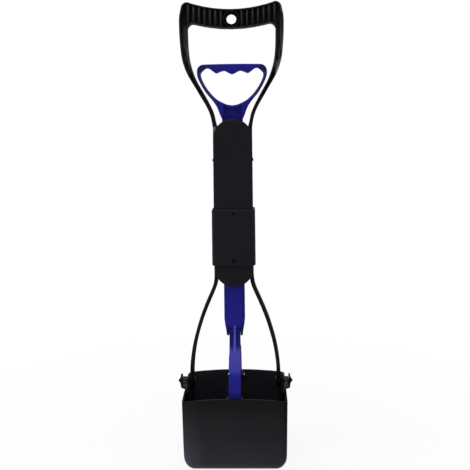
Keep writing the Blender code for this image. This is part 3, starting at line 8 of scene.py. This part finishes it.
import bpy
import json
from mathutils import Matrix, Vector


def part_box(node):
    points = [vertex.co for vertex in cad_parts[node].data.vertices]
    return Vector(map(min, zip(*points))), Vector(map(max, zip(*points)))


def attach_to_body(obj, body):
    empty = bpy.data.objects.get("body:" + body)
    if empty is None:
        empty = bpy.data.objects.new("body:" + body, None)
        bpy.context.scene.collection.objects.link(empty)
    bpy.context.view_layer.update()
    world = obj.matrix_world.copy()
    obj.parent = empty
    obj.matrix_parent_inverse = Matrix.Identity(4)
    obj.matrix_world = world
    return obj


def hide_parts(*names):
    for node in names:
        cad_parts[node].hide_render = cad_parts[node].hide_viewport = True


bl_info = {
    "name": "Pooper scooper",
    "version": (1, 0, 0),
    "blender": (4, 5, 0),
    "location": "3D View > Sidebar > Scooper",
    "description": "Finishes, fine pieces and studio for a folding pooper scooper",
    "category": "Object",
}

import json
import math

import bmesh
import bpy
from bpy.props import FloatProperty, FloatVectorProperty, PointerProperty
from mathutils import Matrix, Vector

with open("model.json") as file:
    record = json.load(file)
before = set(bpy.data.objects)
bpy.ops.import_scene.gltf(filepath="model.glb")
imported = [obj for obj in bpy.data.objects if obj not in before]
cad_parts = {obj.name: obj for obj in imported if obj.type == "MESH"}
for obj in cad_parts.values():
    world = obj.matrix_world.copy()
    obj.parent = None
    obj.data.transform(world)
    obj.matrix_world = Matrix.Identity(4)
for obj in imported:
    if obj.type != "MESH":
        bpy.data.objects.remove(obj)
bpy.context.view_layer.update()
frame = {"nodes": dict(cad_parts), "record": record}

MM = 0.001
PICTURE_SIDE = 470  # pixels
SENSOR_WIDTH = 36.0  # millimetres, as the camera counts

# Skins: corners closer than MERGE are one. Faces join below the first angle, crease above the
# second, and have a rounded edge above the third.
MERGE = 0.002 * MM
FLAT_ANGLE = math.radians(0.3)
CREASE_ANGLE = math.radians(35)
EDGE_ANGLE = math.radians(50)
EDGE_SEGMENTS = 2
TRIGGER_EDGE = 4.0  # the trigger's roundness, in moulded edges

# The solid's grip ribs: their places across the handle, and where their corners are
RIB_START, RIB_PITCH = 13.6 * MM, 7.2 * MM
RIB_CREST, RIB_SLACK = 8.2 * MM, 0.02 * MM
GRIP_BOTTOM = 545 * MM
RIB_ROUNDNESS = 0.45  # of a rib's width
RIB_SEGMENTS = 4

# The springs' round wire
WIRE_SIDES = 12
STEPS_PER_TURN = 24

# Patterns in the plastics and the steel: their spots' sizes, and the spots' squeeze along the axes
FLOW_SIZE, FLOW_STRETCH = 70 * MM, (1, 1, 0.45)
SPECK_SIZE = 1.4 * MM
SCUFF_SIZE, SCUFF_STRETCH = 5 * MM, (9.0, 9.0, 0.8)
PIT_SIZE = 3.1  # in grains
DRAWN_SIZE, DRAWN_STRETCH = 0.5 * MM, (1, 6, 6)
CLOUD_SIZE = 3.0 * MM
# How dark and how light the plastics' slow shifts, specks and scuffs are, in shares of their colour
FLOW_DARK, FLOW_LIGHT = 0.9, 1.12
SPECK_TONE, SPECK_STRENGTH = 1.7, 0.35
SCUFF_TONE = 2.0

# Each lamp's place, what it points at, its width and length, and the stage's setting of its power
LAMPS = {
    "top_lamp": ((-0.1, -0.3, 1.6), (0, 0, 0.2), (0.8, 0.4), "top_power"),
    "left_lamp": ((-1.2, -0.3, 0.45), (0, 0, 0.3), (0.3, 1.0), "left_power"),
    "right_lamp": ((1.2, -0.3, 0.45), (0, 0, 0.3), (0.3, 1.0), "right_power"),
    "low_card": ((-0.03, -0.17, 0.004), (0, -0.06, 0.04), (0.3, 0.07), "card_power"),
}
# The floor: half its side, and how clear it is by the scooper and, rising, between two distances
FLOOR_REACH = 4.0
FLOOR_CLEARNESS = 0.9
CLEAR_FROM, CLEAR_TO = 0.1, 0.6


# Sizes and colours that a user would change


def screen(red, green, blue):
    """A linear colour from a screen's red, green and blue, each from 0 to 255."""
    shares = (channel / 255 for channel in (red, green, blue))
    return tuple(((s + 0.055) / 1.055) ** 2.4 if s > 0.04 else s / 12.92 for s in shares)


def colour_property(name, description, default):
    return FloatVectorProperty(
        name=name, description=description, subtype="COLOR", size=3, min=0, max=1,
        default=screen(*default),
    )


def length_property(name, description, default):
    return FloatProperty(
        name=name, description=description, unit="LENGTH", subtype="DISTANCE", precision=5,
        default=default,
    )


def share_property(name, description, default):
    return FloatProperty(
        name=name, description=description, subtype="FACTOR", min=0, max=1, default=default
    )


def angle_property(name, description, degrees):
    return FloatProperty(
        name=name, description=description, subtype="ANGLE", default=math.radians(degrees)
    )


def power_property(name, description, default):
    return FloatProperty(name=name, description=description, unit="POWER", default=default)


class ScooperFinishes(bpy.types.PropertyGroup):
    handle_colour: colour_property("Handle", "Colour of the handle and its rails", (30, 30, 31))
    # The ribs' colour is lighter than the handle's, as a painted highlight on them
    rib_highlight_colour: colour_property("Ribs", "Colour of the grip's worn ribs", (36, 36, 37))
    fork_colour: colour_property("Fork", "Colour of the fork arms", (18, 18, 19))
    cover_colour: colour_property("Cover", "Colour of the covers and the sleeve", (23, 22, 26))
    bucket_colour: colour_property("Bucket", "Colour of the two jaws", (34, 33, 39))
    blue_colour: colour_property("Blue", "Colour of the trigger, rods and links", (27, 27, 110))
    steel_colour: colour_property("Steel", "Colour of the bright pins and screws", (196, 196, 198))
    spring_colour: colour_property("Springs", "Colour of the torsion springs", (66, 66, 69))
    dark_steel_colour: colour_property("Dark steel", "Colour of the pivots' pins", (22, 22, 24))
    edge_width: length_property("Moulded edge", "Roundness of the sharp edges", 0.3 * MM)
    frame_roughness: share_property("Frame roughness", "How matt the frame is", 0.62)
    cover_roughness: share_property("Cover roughness", "How matt the covers are", 0.42)
    bucket_roughness: share_property("Bucket roughness", "How matt the jaws are", 0.4)
    blue_roughness: share_property("Blue roughness", "How matt the blue pieces are", 0.38)
    sheen_level: share_property("Surface reflection", "How much the plastics reflect", 0.03)
    grain_size: length_property("Grain", "Size of the moulded texture's grain", 0.55 * MM)
    rib_width: length_property("Grip rib", "Width of a rib on the grip bar", 2.5 * MM)
    rib_reach: length_property("Rib reach", "From the handle's middle to a rib's crest", 8.5 * MM)
    spring_wire: length_property("Spring wire", "Thickness of a torsion spring's wire", 1.1 * MM)
    spring_turns: FloatProperty(
        name="Spring turns", description="Turns of a torsion spring", default=4.5
    )


class ScooperStage(bpy.types.PropertyGroup):
    distance: length_property("Distance", "From the camera to the scooper's middle", 1.0)
    eye_height: length_property("Eye height", "Height of the camera above the floor", 455.9 * MM)
    side_offset: length_property("Side offset", "How far the camera stands to the right", 3.4 * MM)
    azimuth: angle_property("Azimuth", "Turn of the camera round the scooper", 1.4)
    roll: angle_property("Roll", "Turn of the camera about its own view", -0.66)
    pixels_per_metre: FloatProperty(
        name="Scale", description="Pixels to the metre at the scooper's middle", default=755.7
    )
    horizon_row: FloatProperty(
        name="Horizon", description="Picture row of the eye height", default=111.2
    )
    world_level: FloatProperty(
        name="Ambient", description="Strength of the light all round", default=0.4
    )
    top_power: power_property("Top lamp", "Power of the lamp overhead", 16.0)
    left_power: power_property("Left lamp", "Power of the lamp on the left", 12.0)
    right_power: power_property("Right lamp", "Power of the lamp on the right", 7.0)
    card_power: power_property("Low card", "Power of the light sent up from the floor", 0.35)
    floor_colour: colour_property("Floor", "Colour of the floor", (205, 205, 205))


# Shader maths


def attach(tree, socket, value):
    if isinstance(value, Wire):
        tree.links.new(value.socket, socket)
    else:
        socket.default_value = value


class Wire:
    """A socket of a material, whose maths is written as an expression."""

    def __init__(self, tree, socket):
        self.tree, self.socket = tree, socket

    def maths(self, operation, first, second):
        node = self.tree.nodes.new("ShaderNodeMath")
        node.operation = operation
        attach(self.tree, node.inputs[0], first)
        attach(self.tree, node.inputs[1], second)
        return Wire(self.tree, node.outputs[0])

    def __add__(self, other):
        return self.maths("ADD", self, other)

    def __radd__(self, other):
        return self.maths("ADD", other, self)

    def __mul__(self, other):
        return self.maths("MULTIPLY", self, other)


class Finish:
    """A material whose surface is worked out by nodes."""

    def __init__(self, name):
        self.material = bpy.data.materials.new(name)
        self.material.use_nodes = True
        self.tree = self.material.node_tree
        self.shader = self.tree.nodes["Principled BSDF"]

    def add(self, kind, settings=None, sockets=None, output=0):
        """One output of a new node, whose settings are set first and its sockets after them."""
        node = self.tree.nodes.new(kind)
        for name, value in (settings or {}).items():
            setattr(node, name, value)
        for name, value in (sockets or {}).items():
            attach(self.tree, node.inputs[name], value)
        return Wire(self.tree, node.outputs[output])

    def place(self, stretch=(1, 1, 1)):
        """Places on the piece in metres, stretched along the axes."""
        where = self.add("ShaderNodeTexCoord", output="Object")
        return self.add("ShaderNodeMapping", {}, {"Vector": where, "Scale": stretch})

    def axis(self, name):
        """One of the place's three numbers, in metres."""
        where = self.add("ShaderNodeTexCoord", output="Object")
        return self.add("ShaderNodeSeparateXYZ", {}, {"Vector": where}, output=name)

    def noise(self, size, detail, stretch=(1, 1, 1)):
        """Soft random shades from 0 to 1, with spots of about the given size."""
        return self.add("ShaderNodeTexNoise", {}, {
            "Vector": self.place(stretch), "Scale": 1 / size, "Detail": detail,
        })

    def ramp(self, wire, low, high):
        """The wire's share of the way from low to high, from 0 to 1."""
        return self.add("ShaderNodeMapRange", {"clamp": True}, {
            "Value": wire, "From Min": low, "From Max": high, "To Min": 0.0, "To Max": 1.0,
        })

    def mixed(self, share, first, second, blend="MIX"):
        """A colour between two colours, or another blend of them."""
        node = self.tree.nodes.new("ShaderNodeMix")
        node.data_type, node.blend_type = "RGBA", blend
        attach(self.tree, node.inputs[0], share)
        for socket, colour in ((node.inputs[6], first), (node.inputs[7], second)):
            attach(self.tree, socket, colour if isinstance(colour, Wire) else (*colour, 1.0))
        return Wire(self.tree, node.outputs[2])

    def with_painted_light(self, tone, shares, *ranges):
        """The tone times its shares, in one patch of the piece: painted light where the shares are
        above one, painted shade where they are below.

        shares is one number, or one each for red, green and blue. Each range is an axis, in bars
        for its distance from zero, and the places where the patch starts and where it is whole.
        """
        if not isinstance(shares, tuple):
            shares = (shares, shares, shares)
        strength = None
        for axis, start, whole in ranges:
            place = self.axis(axis.strip("|"))
            if axis.startswith("|"):
                place = place.maths("ABSOLUTE", place, 0.0)
            here = self.ramp(place, start * MM, whole * MM)
            strength = here if strength is None else strength * here
        return self.mixed(strength, tone, shares, blend="MULTIPLY")

    def surface(self, **sockets):
        """Sets the shader's sockets, with words joined by underscores."""
        for name, value in sockets.items():
            attach(self.tree, self.shader.inputs[name.replace("_", " ")], value)
        return self.material


def shade(colour, share):
    """A colour made lighter or darker."""
    return tuple(min(1.0, channel * share) for channel in colour)


def moulded(name, colour, roughness, level, grain, depth, scuffed):
    """Injection-moulded plastic: fine grain, slow shifts of gloss, a few fine scuffs, and the
    piece's painted light and shade.

    level is how much it reflects, depth the grain's height, and scuffed how strong the scuffs are.
    """
    finish = Finish(name)
    flow = finish.ramp(finish.noise(FLOW_SIZE, 3.0, FLOW_STRETCH), 0.3, 0.7)
    skin = finish.noise(grain, 3.0)
    pits = finish.noise(grain * PIT_SIZE, 1.0)
    specks = finish.ramp(finish.noise(SPECK_SIZE, 4.0), 0.66, 0.74)
    scuffs = finish.ramp(finish.noise(SCUFF_SIZE, 5.0, SCUFF_STRETCH), 0.62, 0.7)
    tone = finish.mixed(flow, shade(colour, FLOW_DARK), shade(colour, FLOW_LIGHT))
    tone = finish.mixed(specks * SPECK_STRENGTH, tone, shade(colour, SPECK_TONE))
    tone = finish.mixed(scuffs * scuffed, tone, shade(colour, SCUFF_TONE))
    # Painted light and shade, in patches over the piece
    for patch in PAINTED_LIGHT.get(name, ()):
        tone = finish.with_painted_light(tone, *patch)
    gloss = roughness - 0.04 + flow * 0.08 + specks * 0.06 + scuffs * (scuffed * 0.3)
    bump = finish.add("ShaderNodeBump", {}, {
        "Strength": 0.35, "Distance": depth, "Height": skin * 0.7 + pits * 0.3,
    })
    return finish.surface(Base_Color=tone, Roughness=gloss, Normal=bump, Specular_IOR_Level=level)


def metal(name, colour, roughness):
    """Plated steel with fine drawing marks and slow shifts of gloss."""
    finish = Finish(name)
    marks = finish.noise(DRAWN_SIZE, 3.0, DRAWN_STRETCH)
    cloud = finish.noise(CLOUD_SIZE, 2.0)
    tone = finish.mixed(finish.ramp(cloud, 0.35, 0.7), shade(colour, 0.82), shade(colour, 1.05))
    bump = finish.add("ShaderNodeBump", {}, {
        "Strength": 0.2, "Distance": 0.03 * MM, "Height": marks,
    })
    return finish.surface(
        Base_Color=tone, Metallic=1.0, Roughness=roughness + cloud * 0.12, Normal=bump
    )


FINISHES = {}
# Painted light and shade over a piece: the tone's shares, and the patch's ranges in millimetres
PAINTED_LIGHT = {
    "handle_plastic": (
        # Painted light on the sides, painted shade in the grooves, darker lower rails, a painted
        # glint at the left rail's foot, and painted shade in a ring round the hole
        (1.5, ("|X|", 50.0, 58.0), ("Z", 566.0, 556.0), ("Z", 495.0, 525.0)),
        (0.68, ("|Y|", 7.6, 5.0)),
        (0.35, ("Z", 500.0, 480.0)),
        (30.0, ("X", -26.2, -25.2), ("X", -21.0, -22.0), ("Z", 427.0, 430.0), ("Z", 437.0, 434.0)),
        (0.3, ("|X|", 12.5, 11.8), ("Z", 565.5, 566.5), ("Z", 589.0, 588.0)),
        # Painted highlight streaks, one down the left rail and one down the right rail
        (4.2, ("X", -64.0, -63.0), ("X", -59.9, -60.6), ("Z", 536.0, 542.0), ("Z", 572.0, 566.0)),
        (4.2, ("X", -61.8, -60.8), ("X", -57.5, -58.3), ("Z", 520.0, 525.0), ("Z", 542.0, 536.0)),
        (3.0, ("X", -58.8, -57.8), ("X", -54.6, -55.4), ("Z", 503.0, 508.0), ("Z", 525.0, 520.0)),
        (4.6, ("X", 63.4, 64.4), ("X", 67.4, 66.6), ("Z", 533.0, 540.0)),
        (5.6, ("X", 60.9, 61.9), ("X", 64.4, 63.4), ("Z", 516.0, 521.0), ("Z", 541.0, 534.0)),
        (12.0, ("X", 56.2, 57.8), ("X", 62.2, 60.8), ("Z", 503.0, 509.0), ("Z", 524.0, 518.0)),
    ),
    # Painted shade on the ends inside the bucket
    "fork_plastic": ((0.08, ("Z", 122.0, 108.0)),),
    "bucket_plastic": (
        # Painted shade on the front wall, darker towards its rim, and painted light on its left side
        ((0.165, 0.165, 0.145), ("Z", 4.0, 84.0), ("Y", 0.0, -6.0)),
        ((0.68, 0.68, 0.7), ("Z", 16.0, 46.0), ("Y", 0.0, -6.0)),
        ((2.0, 2.0, 1.9), ("X", -40.0, -60.0), ("Y", 0.0, -6.0)),
        # Painted shade on the lugs for the links, the shoulders by the pivots and the insides of
        # the side walls
        (0.4, ("|X|", 14.0, 12.5), ("Z", 78.0, 82.0), ("|Y|", 51.5, 50.0)),
        (0.55, ("|X|", 61.0, 63.0), ("Z", 82.0, 88.0)),
        (0.25, ("|X|", 56.0, 62.0), ("|X|", 65.9, 65.3), ("Y", -38.0, -32.0)),
    ),
    # Painted shade in the sunk panel, a painted highlight as a thin greyer band, and painted shade
    # in the dark corners
    "trigger_plastic": (
        (0.75, ("|Y|", 6.4, 5.4)),
        ((2.3, 1.75, 0.73), ("|X|", 8.0, 12.0), ("Z", 468.0, 478.0), ("Z", 510.0, 506.0)),
        ((0.8, 0.85, 0.42), ("|X|", 33.0, 37.0), ("Z", 506.0, 510.0)),
    ),
    # Painted shade down the right edge and on the clevis's cheeks
    "rod_plastic": (
        ((0.7, 0.7, 0.62), ("X", 8.5, 12.0)),
        (0.4, ("Z", 178.0, 168.0), ("|X|", 3.0, 5.5)),
    ),
    # Painted shade on the low end, painted light on the bend and a painted highlight on the ridge
    # above it, and painted shadow on the sides beside the ridge
    "link_plastic": (
        ((0.85, 0.85, 0.78), ("Z", 122.0, 112.0)),
        ((2.7, 2.8, 1.45), ("Z", 120.0, 125.0), ("Z", 149.0, 143.0)),
        ((4.4, 4.4, 1.9), ("|X|", 1.6, 1.2), ("Z", 143.0, 149.0), ("Y", 0.0, -1.0)),
        ((0.6, 0.65, 0.5), ("|X|", 1.7, 2.4), ("Z", 144.0, 150.0)),
    ),
}


def finishes():
    """The finishes, made once from the scene's own settings."""
    if FINISHES:
        return FINISHES
    look = bpy.context.scene.scooper_finishes
    for name, colour, roughness, depth, scuffed in (
        ("handle_plastic", look.handle_colour, look.frame_roughness, 0.05 * MM, 0.1),
        ("rib_plastic", look.rib_highlight_colour, look.frame_roughness, 0.05 * MM, 0.1),
        ("fork_plastic", look.fork_colour, look.frame_roughness, 0.05 * MM, 0.1),
        ("cover_plastic", look.cover_colour, look.cover_roughness, 0.035 * MM, 0.15),
        ("bucket_plastic", look.bucket_colour, look.bucket_roughness, 0.03 * MM, 0.12),
        ("trigger_plastic", look.blue_colour, look.blue_roughness, 0.03 * MM, 0.08),
        ("rod_plastic", look.blue_colour, look.blue_roughness, 0.03 * MM, 0.08),
        ("link_plastic", look.blue_colour, look.blue_roughness, 0.03 * MM, 0.08),
    ):
        FINISHES[name] = moulded(
            name, tuple(colour), roughness, look.sheen_level, look.grain_size, depth, scuffed
        )
    for name, colour, roughness in (
        ("plated_steel", look.steel_colour, 0.2),
        ("spring_steel", look.spring_colour, 0.3),
        ("dark_steel", look.dark_steel_colour, 0.36),
    ):
        FINISHES[name] = metal(name, tuple(colour), roughness)
    return FINISHES


def body_of(node):
    """The body that a CAD node belongs to."""
    members = frame["record"]["behaviour"]["bodies"]
    return next(body for body, nodes in members.items() if node in nodes)


def placed(name, shape, finish):
    """A new piece at the origin, with its place in its mesh."""
    mesh = bpy.data.meshes.new(name)
    shape.to_mesh(mesh)
    shape.free()
    piece = bpy.data.objects.new(name, mesh)
    bpy.context.scene.collection.objects.link(piece)
    mesh.materials.append(finishes()[finish])
    mesh.shade_smooth()
    return piece


def moulded_copy(node, finish, edge=1.0):
    """A CAD node's own shape in one skin, with smooth curves and softly rounded edges.

    edge multiplies the roundness of the edges, and zero leaves them as they are.
    """
    shape = bmesh.new()
    shape.from_mesh(frame["nodes"][node].data)
    bmesh.ops.remove_doubles(shape, verts=shape.verts, dist=MERGE)
    bmesh.ops.dissolve_degenerate(shape, dist=MERGE, edges=shape.edges)
    bmesh.ops.dissolve_limit(shape, angle_limit=FLAT_ANGLE, verts=shape.verts, edges=shape.edges)
    bmesh.ops.triangulate(shape, faces=[face for face in shape.faces if len(face.verts) > 4])
    piece = placed(node + "_skin", shape, finish)
    piece.data.set_sharp_from_angle(angle=CREASE_ANGLE)
    if edge:
        rounding = piece.modifiers.new("Moulded edges", "BEVEL")
        rounding.width = bpy.context.scene.scooper_finishes.edge_width * edge
        rounding.segments = EDGE_SEGMENTS
        rounding.limit_method = "ANGLE"
        rounding.angle_limit = EDGE_ANGLE
    weighted = piece.modifiers.new("Even shading", "WEIGHTED_NORMAL")
    weighted.keep_sharp = True
    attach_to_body(piece, body_of(node))
    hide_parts(node)
    return piece


def edges_of(verts):
    """The edges that meet in the vertices, each once and in a fixed order."""
    return list(dict.fromkeys(edge for vert in verts for edge in vert.link_edges))


def tube(radius, places):
    """A closed round tube through a row of rings, whose places are given as matrices."""
    shape = bmesh.new()
    rings = [
        bmesh.ops.create_circle(shape, segments=WIRE_SIDES, radius=radius, matrix=place)["verts"]
        for place in places
    ]
    for ring, following in zip(rings, rings[1:]):
        for i in range(WIRE_SIDES):
            shape.faces.new((ring[i - 1], ring[i], following[i], following[i - 1]))
    for end in (rings[0], rings[-1]):
        shape.faces.new(end)
    bmesh.ops.recalc_face_normals(shape, faces=shape.faces)
    return shape


def rib_spans():
    """Each grip rib's place across the handle, and its lowest and highest point."""
    spans = {}
    for vert in frame["nodes"]["upper_frame"].data.vertices:
        if vert.co.z > GRIP_BOTTOM and abs(abs(vert.co.y) - RIB_CREST) < RIB_SLACK:
            rib = round((abs(vert.co.x) - RIB_START) / RIB_PITCH)
            low, high = spans.get(rib, (vert.co.z, vert.co.z))
            spans[rib] = min(low, vert.co.z), max(high, vert.co.z)
    for rib, (low, high) in sorted(spans.items()):
        for side in (-1, 1):
            yield side * (RIB_START + RIB_PITCH * rib), low, high


# One operator for each piece or group of like pieces


class ScooperOperator:
    bl_options = {"REGISTER", "UNDO"}


class SCOOPER_OT_handle(ScooperOperator, bpy.types.Operator):
    """Finish the handle and its rails"""

    bl_idname = "scooper.handle"
    bl_label = "Handle"

    def execute(self, context):
        moulded_copy("upper_frame", "handle_plastic")
        self.ribs(context.scene.scooper_finishes)
        return {"FINISHED"}

    def ribs(self, look):
        """Rounded ribs on the grip bar, each round the narrow rib of the solid."""
        shape = bmesh.new()
        for across, low, high in rib_spans():
            size = Matrix.Diagonal((look.rib_width, look.rib_reach * 2, high - low, 1))
            place = Matrix.Translation((across, 0, (low + high) / 2))
            made = bmesh.ops.create_cube(shape, size=1.0, matrix=place @ size)["verts"]
            upright = [
                edge for edge in edges_of(made)
                if abs(edge.verts[0].co.z - edge.verts[1].co.z) > MM
            ]
            bmesh.ops.bevel(
                shape, geom=upright, offset=look.rib_width * RIB_ROUNDNESS,
                segments=RIB_SEGMENTS, affect="EDGES", profile=0.5, material=-1,
            )
        piece = placed("grip_ribs", shape, "rib_plastic")
        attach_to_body(piece, "handle_half")


class SCOOPER_OT_fork(ScooperOperator, bpy.types.Operator):
    """Finish the fork"""

    bl_idname = "scooper.fork"
    bl_label = "Fork"

    def execute(self, context):
        moulded_copy("lower_frame", "fork_plastic")
        return {"FINISHED"}


class SCOOPER_OT_covers(ScooperOperator, bpy.types.Operator):
    """Finish the housing covers and the sleeve"""

    bl_idname = "scooper.covers"
    bl_label = "Covers"

    def execute(self, context):
        for node in (
            "upper_front_cover", "upper_rear_cover", "lower_front_cover", "lower_rear_cover",
            "lock_sleeve",
        ):
            moulded_copy(node, "cover_plastic")
        return {"FINISHED"}


class SCOOPER_OT_pull(ScooperOperator, bpy.types.Operator):
    """Finish the trigger, the rods and the links"""

    bl_idname = "scooper.pull"
    bl_label = "Trigger and links"

    def execute(self, context):
        moulded_copy("trigger", "trigger_plastic", edge=TRIGGER_EDGE)
        moulded_copy("lower_rod", "rod_plastic")
        for node in ("front_link", "rear_link"):
            moulded_copy(node, "link_plastic")
        return {"FINISHED"}


class SCOOPER_OT_bucket(ScooperOperator, bpy.types.Operator):
    """Finish the two jaws"""

    bl_idname = "scooper.bucket"
    bl_label = "Bucket"

    def execute(self, context):
        for node in ("front_jaw", "rear_jaw"):
            moulded_copy(node, "bucket_plastic")
        return {"FINISHED"}


class SCOOPER_OT_fittings(ScooperOperator, bpy.types.Operator):
    """Finish the pins, clips and screws"""

    bl_idname = "scooper.fittings"
    bl_label = "Fittings"

    def execute(self, context):
        for name in list(frame["nodes"]):
            if name.startswith("pivot_") or "clevis" in name:
                moulded_copy(name, "dark_steel", edge=0.0)
            elif "pin" in name or "screw" in name:
                moulded_copy(name, "plated_steel", edge=0.0)
        return {"FINISHED"}


class SCOOPER_OT_springs(ScooperOperator, bpy.types.Operator):
    """Wind the two torsion springs"""

    bl_idname = "scooper.springs"
    bl_label = "Springs"

    def execute(self, context):
        look = context.scene.scooper_finishes
        for side, end in ((-1, "left"), (1, "right")):
            piece = placed("spring_coil_" + end, self.coil(side, end, look), "spring_steel")
            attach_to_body(piece, "fork")
            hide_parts("torsion_spring_" + end)
        return {"FINISHED"}

    def coil(self, side, end, look):
        """A round wire wound about the pivot, with a straight leg down from each end."""
        low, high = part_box("torsion_spring_" + end)
        pin_low, pin_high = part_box("pivot_pin_" + end)
        wire = look.spring_wire / 2
        inner = side * (min(abs(low.x), abs(high.x)) + wire)
        outer = side * (max(abs(low.x), abs(high.x)) - wire)
        height = (pin_low.z + pin_high.z) / 2
        radius = (high.y - low.y) / 2 - wire
        steps = round(look.spring_turns * STEPS_PER_TURN)
        places = []
        for step in range(steps + 1):
            share = step / steps
            turned = Matrix.Rotation(math.tau * look.spring_turns * share, 4, "X")
            moved = Matrix.Translation((inner + (outer - inner) * share, 0, height))
            places.append(moved @ turned @ Matrix.Translation((0, radius, 0)))
        down = Matrix.Translation((0, 0, low.z - height))
        return tube(wire, [down @ places[0], *places, down @ places[-1]])


def area_lamp(name, place, target, size, power):
    """A rectangular lamp that points at a target and isn't seen itself."""
    lamp = bpy.data.lights.new(name, "AREA")
    lamp.shape, lamp.energy = "RECTANGLE", power
    lamp.size, lamp.size_y = size
    item = bpy.data.objects.new(name, lamp)
    bpy.context.scene.collection.objects.link(item)
    item.location = place
    item.rotation_euler = (Vector(target) - item.location).to_track_quat("-Z", "Y").to_euler()
    item.visible_camera = False


def seen_rays(tree):
    """1 for the rays that see the background: the camera's, mirrored and refracted ones."""
    path = tree.nodes.new("ShaderNodeLightPath")
    names = ("Is Camera Ray", "Is Glossy Ray", "Is Transmission Ray")
    camera, glossy, through = (Wire(tree, path.outputs[name]) for name in names)
    return camera.maths("MAXIMUM", camera, camera.maths("MAXIMUM", glossy, through))


class SCOOPER_OT_stage(ScooperOperator, bpy.types.Operator):
    """Set up the floor, the light and the camera"""

    bl_idname = "scooper.stage"
    bl_label = "Studio"

    def execute(self, context):
        stage = context.scene.scooper_stage
        self.world(context, stage)
        self.floor(context, stage)
        for name, (place, target, size, power) in LAMPS.items():
            area_lamp(name, place, target, size, getattr(stage, power))
        self.camera(context, stage)
        context.scene.view_settings.view_transform = "Standard"
        return {"FINISHED"}

    def world(self, context, stage):
        """Even light all round, which the camera and mirrored rays see as plain white."""
        world = bpy.data.worlds.new("studio")
        context.scene.world = world
        world.use_nodes = True
        tree = world.node_tree
        background = tree.nodes["Background"]
        background.inputs["Color"].default_value = (1, 1, 1, 1)
        seen = seen_rays(tree)
        attach(
            tree, background.inputs["Strength"],
            stage.world_level + seen * (1 - stage.world_level),
        )

    def floor(self, context, stage):
        """A pale floor that keeps the shadow, and that the folded handle shows through."""
        shape = bmesh.new()
        bmesh.ops.create_grid(shape, x_segments=2, y_segments=2, size=FLOOR_REACH)
        mesh = bpy.data.meshes.new("floor")
        shape.to_mesh(mesh)
        shape.free()
        floor = bpy.data.objects.new("floor", mesh)
        context.scene.collection.objects.link(floor)
        finish = Finish("floor_paper")
        finish.surface(
            Base_Color=(*stage.floor_colour, 1.0), Roughness=0.9, Specular_IOR_Level=0.0
        )
        tree = finish.tree
        clear = tree.nodes.new("ShaderNodeBsdfTransparent")
        mix = tree.nodes.new("ShaderNodeMixShader")
        apart = finish.add(
            "ShaderNodeVectorMath", {"operation": "LENGTH"}, {"Vector": finish.place()}, "Value"
        )
        rise = finish.ramp(apart, CLEAR_FROM, CLEAR_TO) * (1 - FLOOR_CLEARNESS)
        attach(tree, mix.inputs[0], seen_rays(tree) * (FLOOR_CLEARNESS + rise))
        tree.links.new(finish.shader.outputs[0], mix.inputs[1])
        tree.links.new(clear.outputs[0], mix.inputs[2])
        tree.links.new(mix.outputs[0], tree.nodes["Material Output"].inputs[0])
        mesh.materials.append(finish.material)

    def camera(self, context, stage):
        """A level camera, shifted up or down to where the picture's horizon lies."""
        data = bpy.data.cameras.new("camera")
        camera = bpy.data.objects.new("camera", data)
        context.scene.collection.objects.link(camera)
        turn = stage.azimuth
        across = Vector((math.cos(turn), math.sin(turn), 0))
        forward = Vector((-math.sin(turn), math.cos(turn), 0))
        height = Vector((0, 0, stage.eye_height))
        camera.location = across * stage.side_offset - forward * stage.distance + height
        level = Matrix((across, (0, 0, 1), -forward)).transposed()
        camera.rotation_mode = "QUATERNION"
        camera.rotation_quaternion = (level @ Matrix.Rotation(stage.roll, 3, "Z")).to_quaternion()
        data.sensor_width = SENSOR_WIDTH
        data.lens = SENSOR_WIDTH * stage.pixels_per_metre * stage.distance / PICTURE_SIDE
        data.shift_y = (stage.horizon_row - PICTURE_SIDE / 2) / PICTURE_SIDE
        data.clip_start, data.clip_end = 0.01, 50
        context.scene.camera = camera


OPERATORS = (
    SCOOPER_OT_handle, SCOOPER_OT_fork, SCOOPER_OT_covers, SCOOPER_OT_pull, SCOOPER_OT_bucket,
    SCOOPER_OT_fittings, SCOOPER_OT_springs, SCOOPER_OT_stage,
)


class SCOOPER_PT_panel(bpy.types.Panel):
    """The scooper's pieces"""

    bl_idname = "SCOOPER_PT_panel"
    bl_label = "Pooper scooper"
    bl_space_type = "VIEW_3D"
    bl_region_type = "UI"
    bl_category = "Scooper"

    def draw(self, context):
        for operator in OPERATORS:
            self.layout.operator(operator.bl_idname)
        for group in (context.scene.scooper_finishes, context.scene.scooper_stage):
            for name in group.bl_rna.properties.keys():
                if name not in ("rna_type", "name"):
                    self.layout.prop(group, name)


CLASSES = (ScooperFinishes, ScooperStage, *OPERATORS, SCOOPER_PT_panel)


def register():
    for kind in CLASSES:
        bpy.utils.register_class(kind)
    bpy.types.Scene.scooper_finishes = PointerProperty(type=ScooperFinishes)
    bpy.types.Scene.scooper_stage = PointerProperty(type=ScooperStage)


def unregister():
    del bpy.types.Scene.scooper_stage
    del bpy.types.Scene.scooper_finishes
    for kind in reversed(CLASSES):
        bpy.utils.unregister_class(kind)


def main():
    register()
    for operator in OPERATORS:
        group, name = operator.bl_idname.split(".")
        getattr(getattr(bpy.ops, group), name)()
    bpy.context.view_layer.update()


if __name__ == "__main__":
    main()
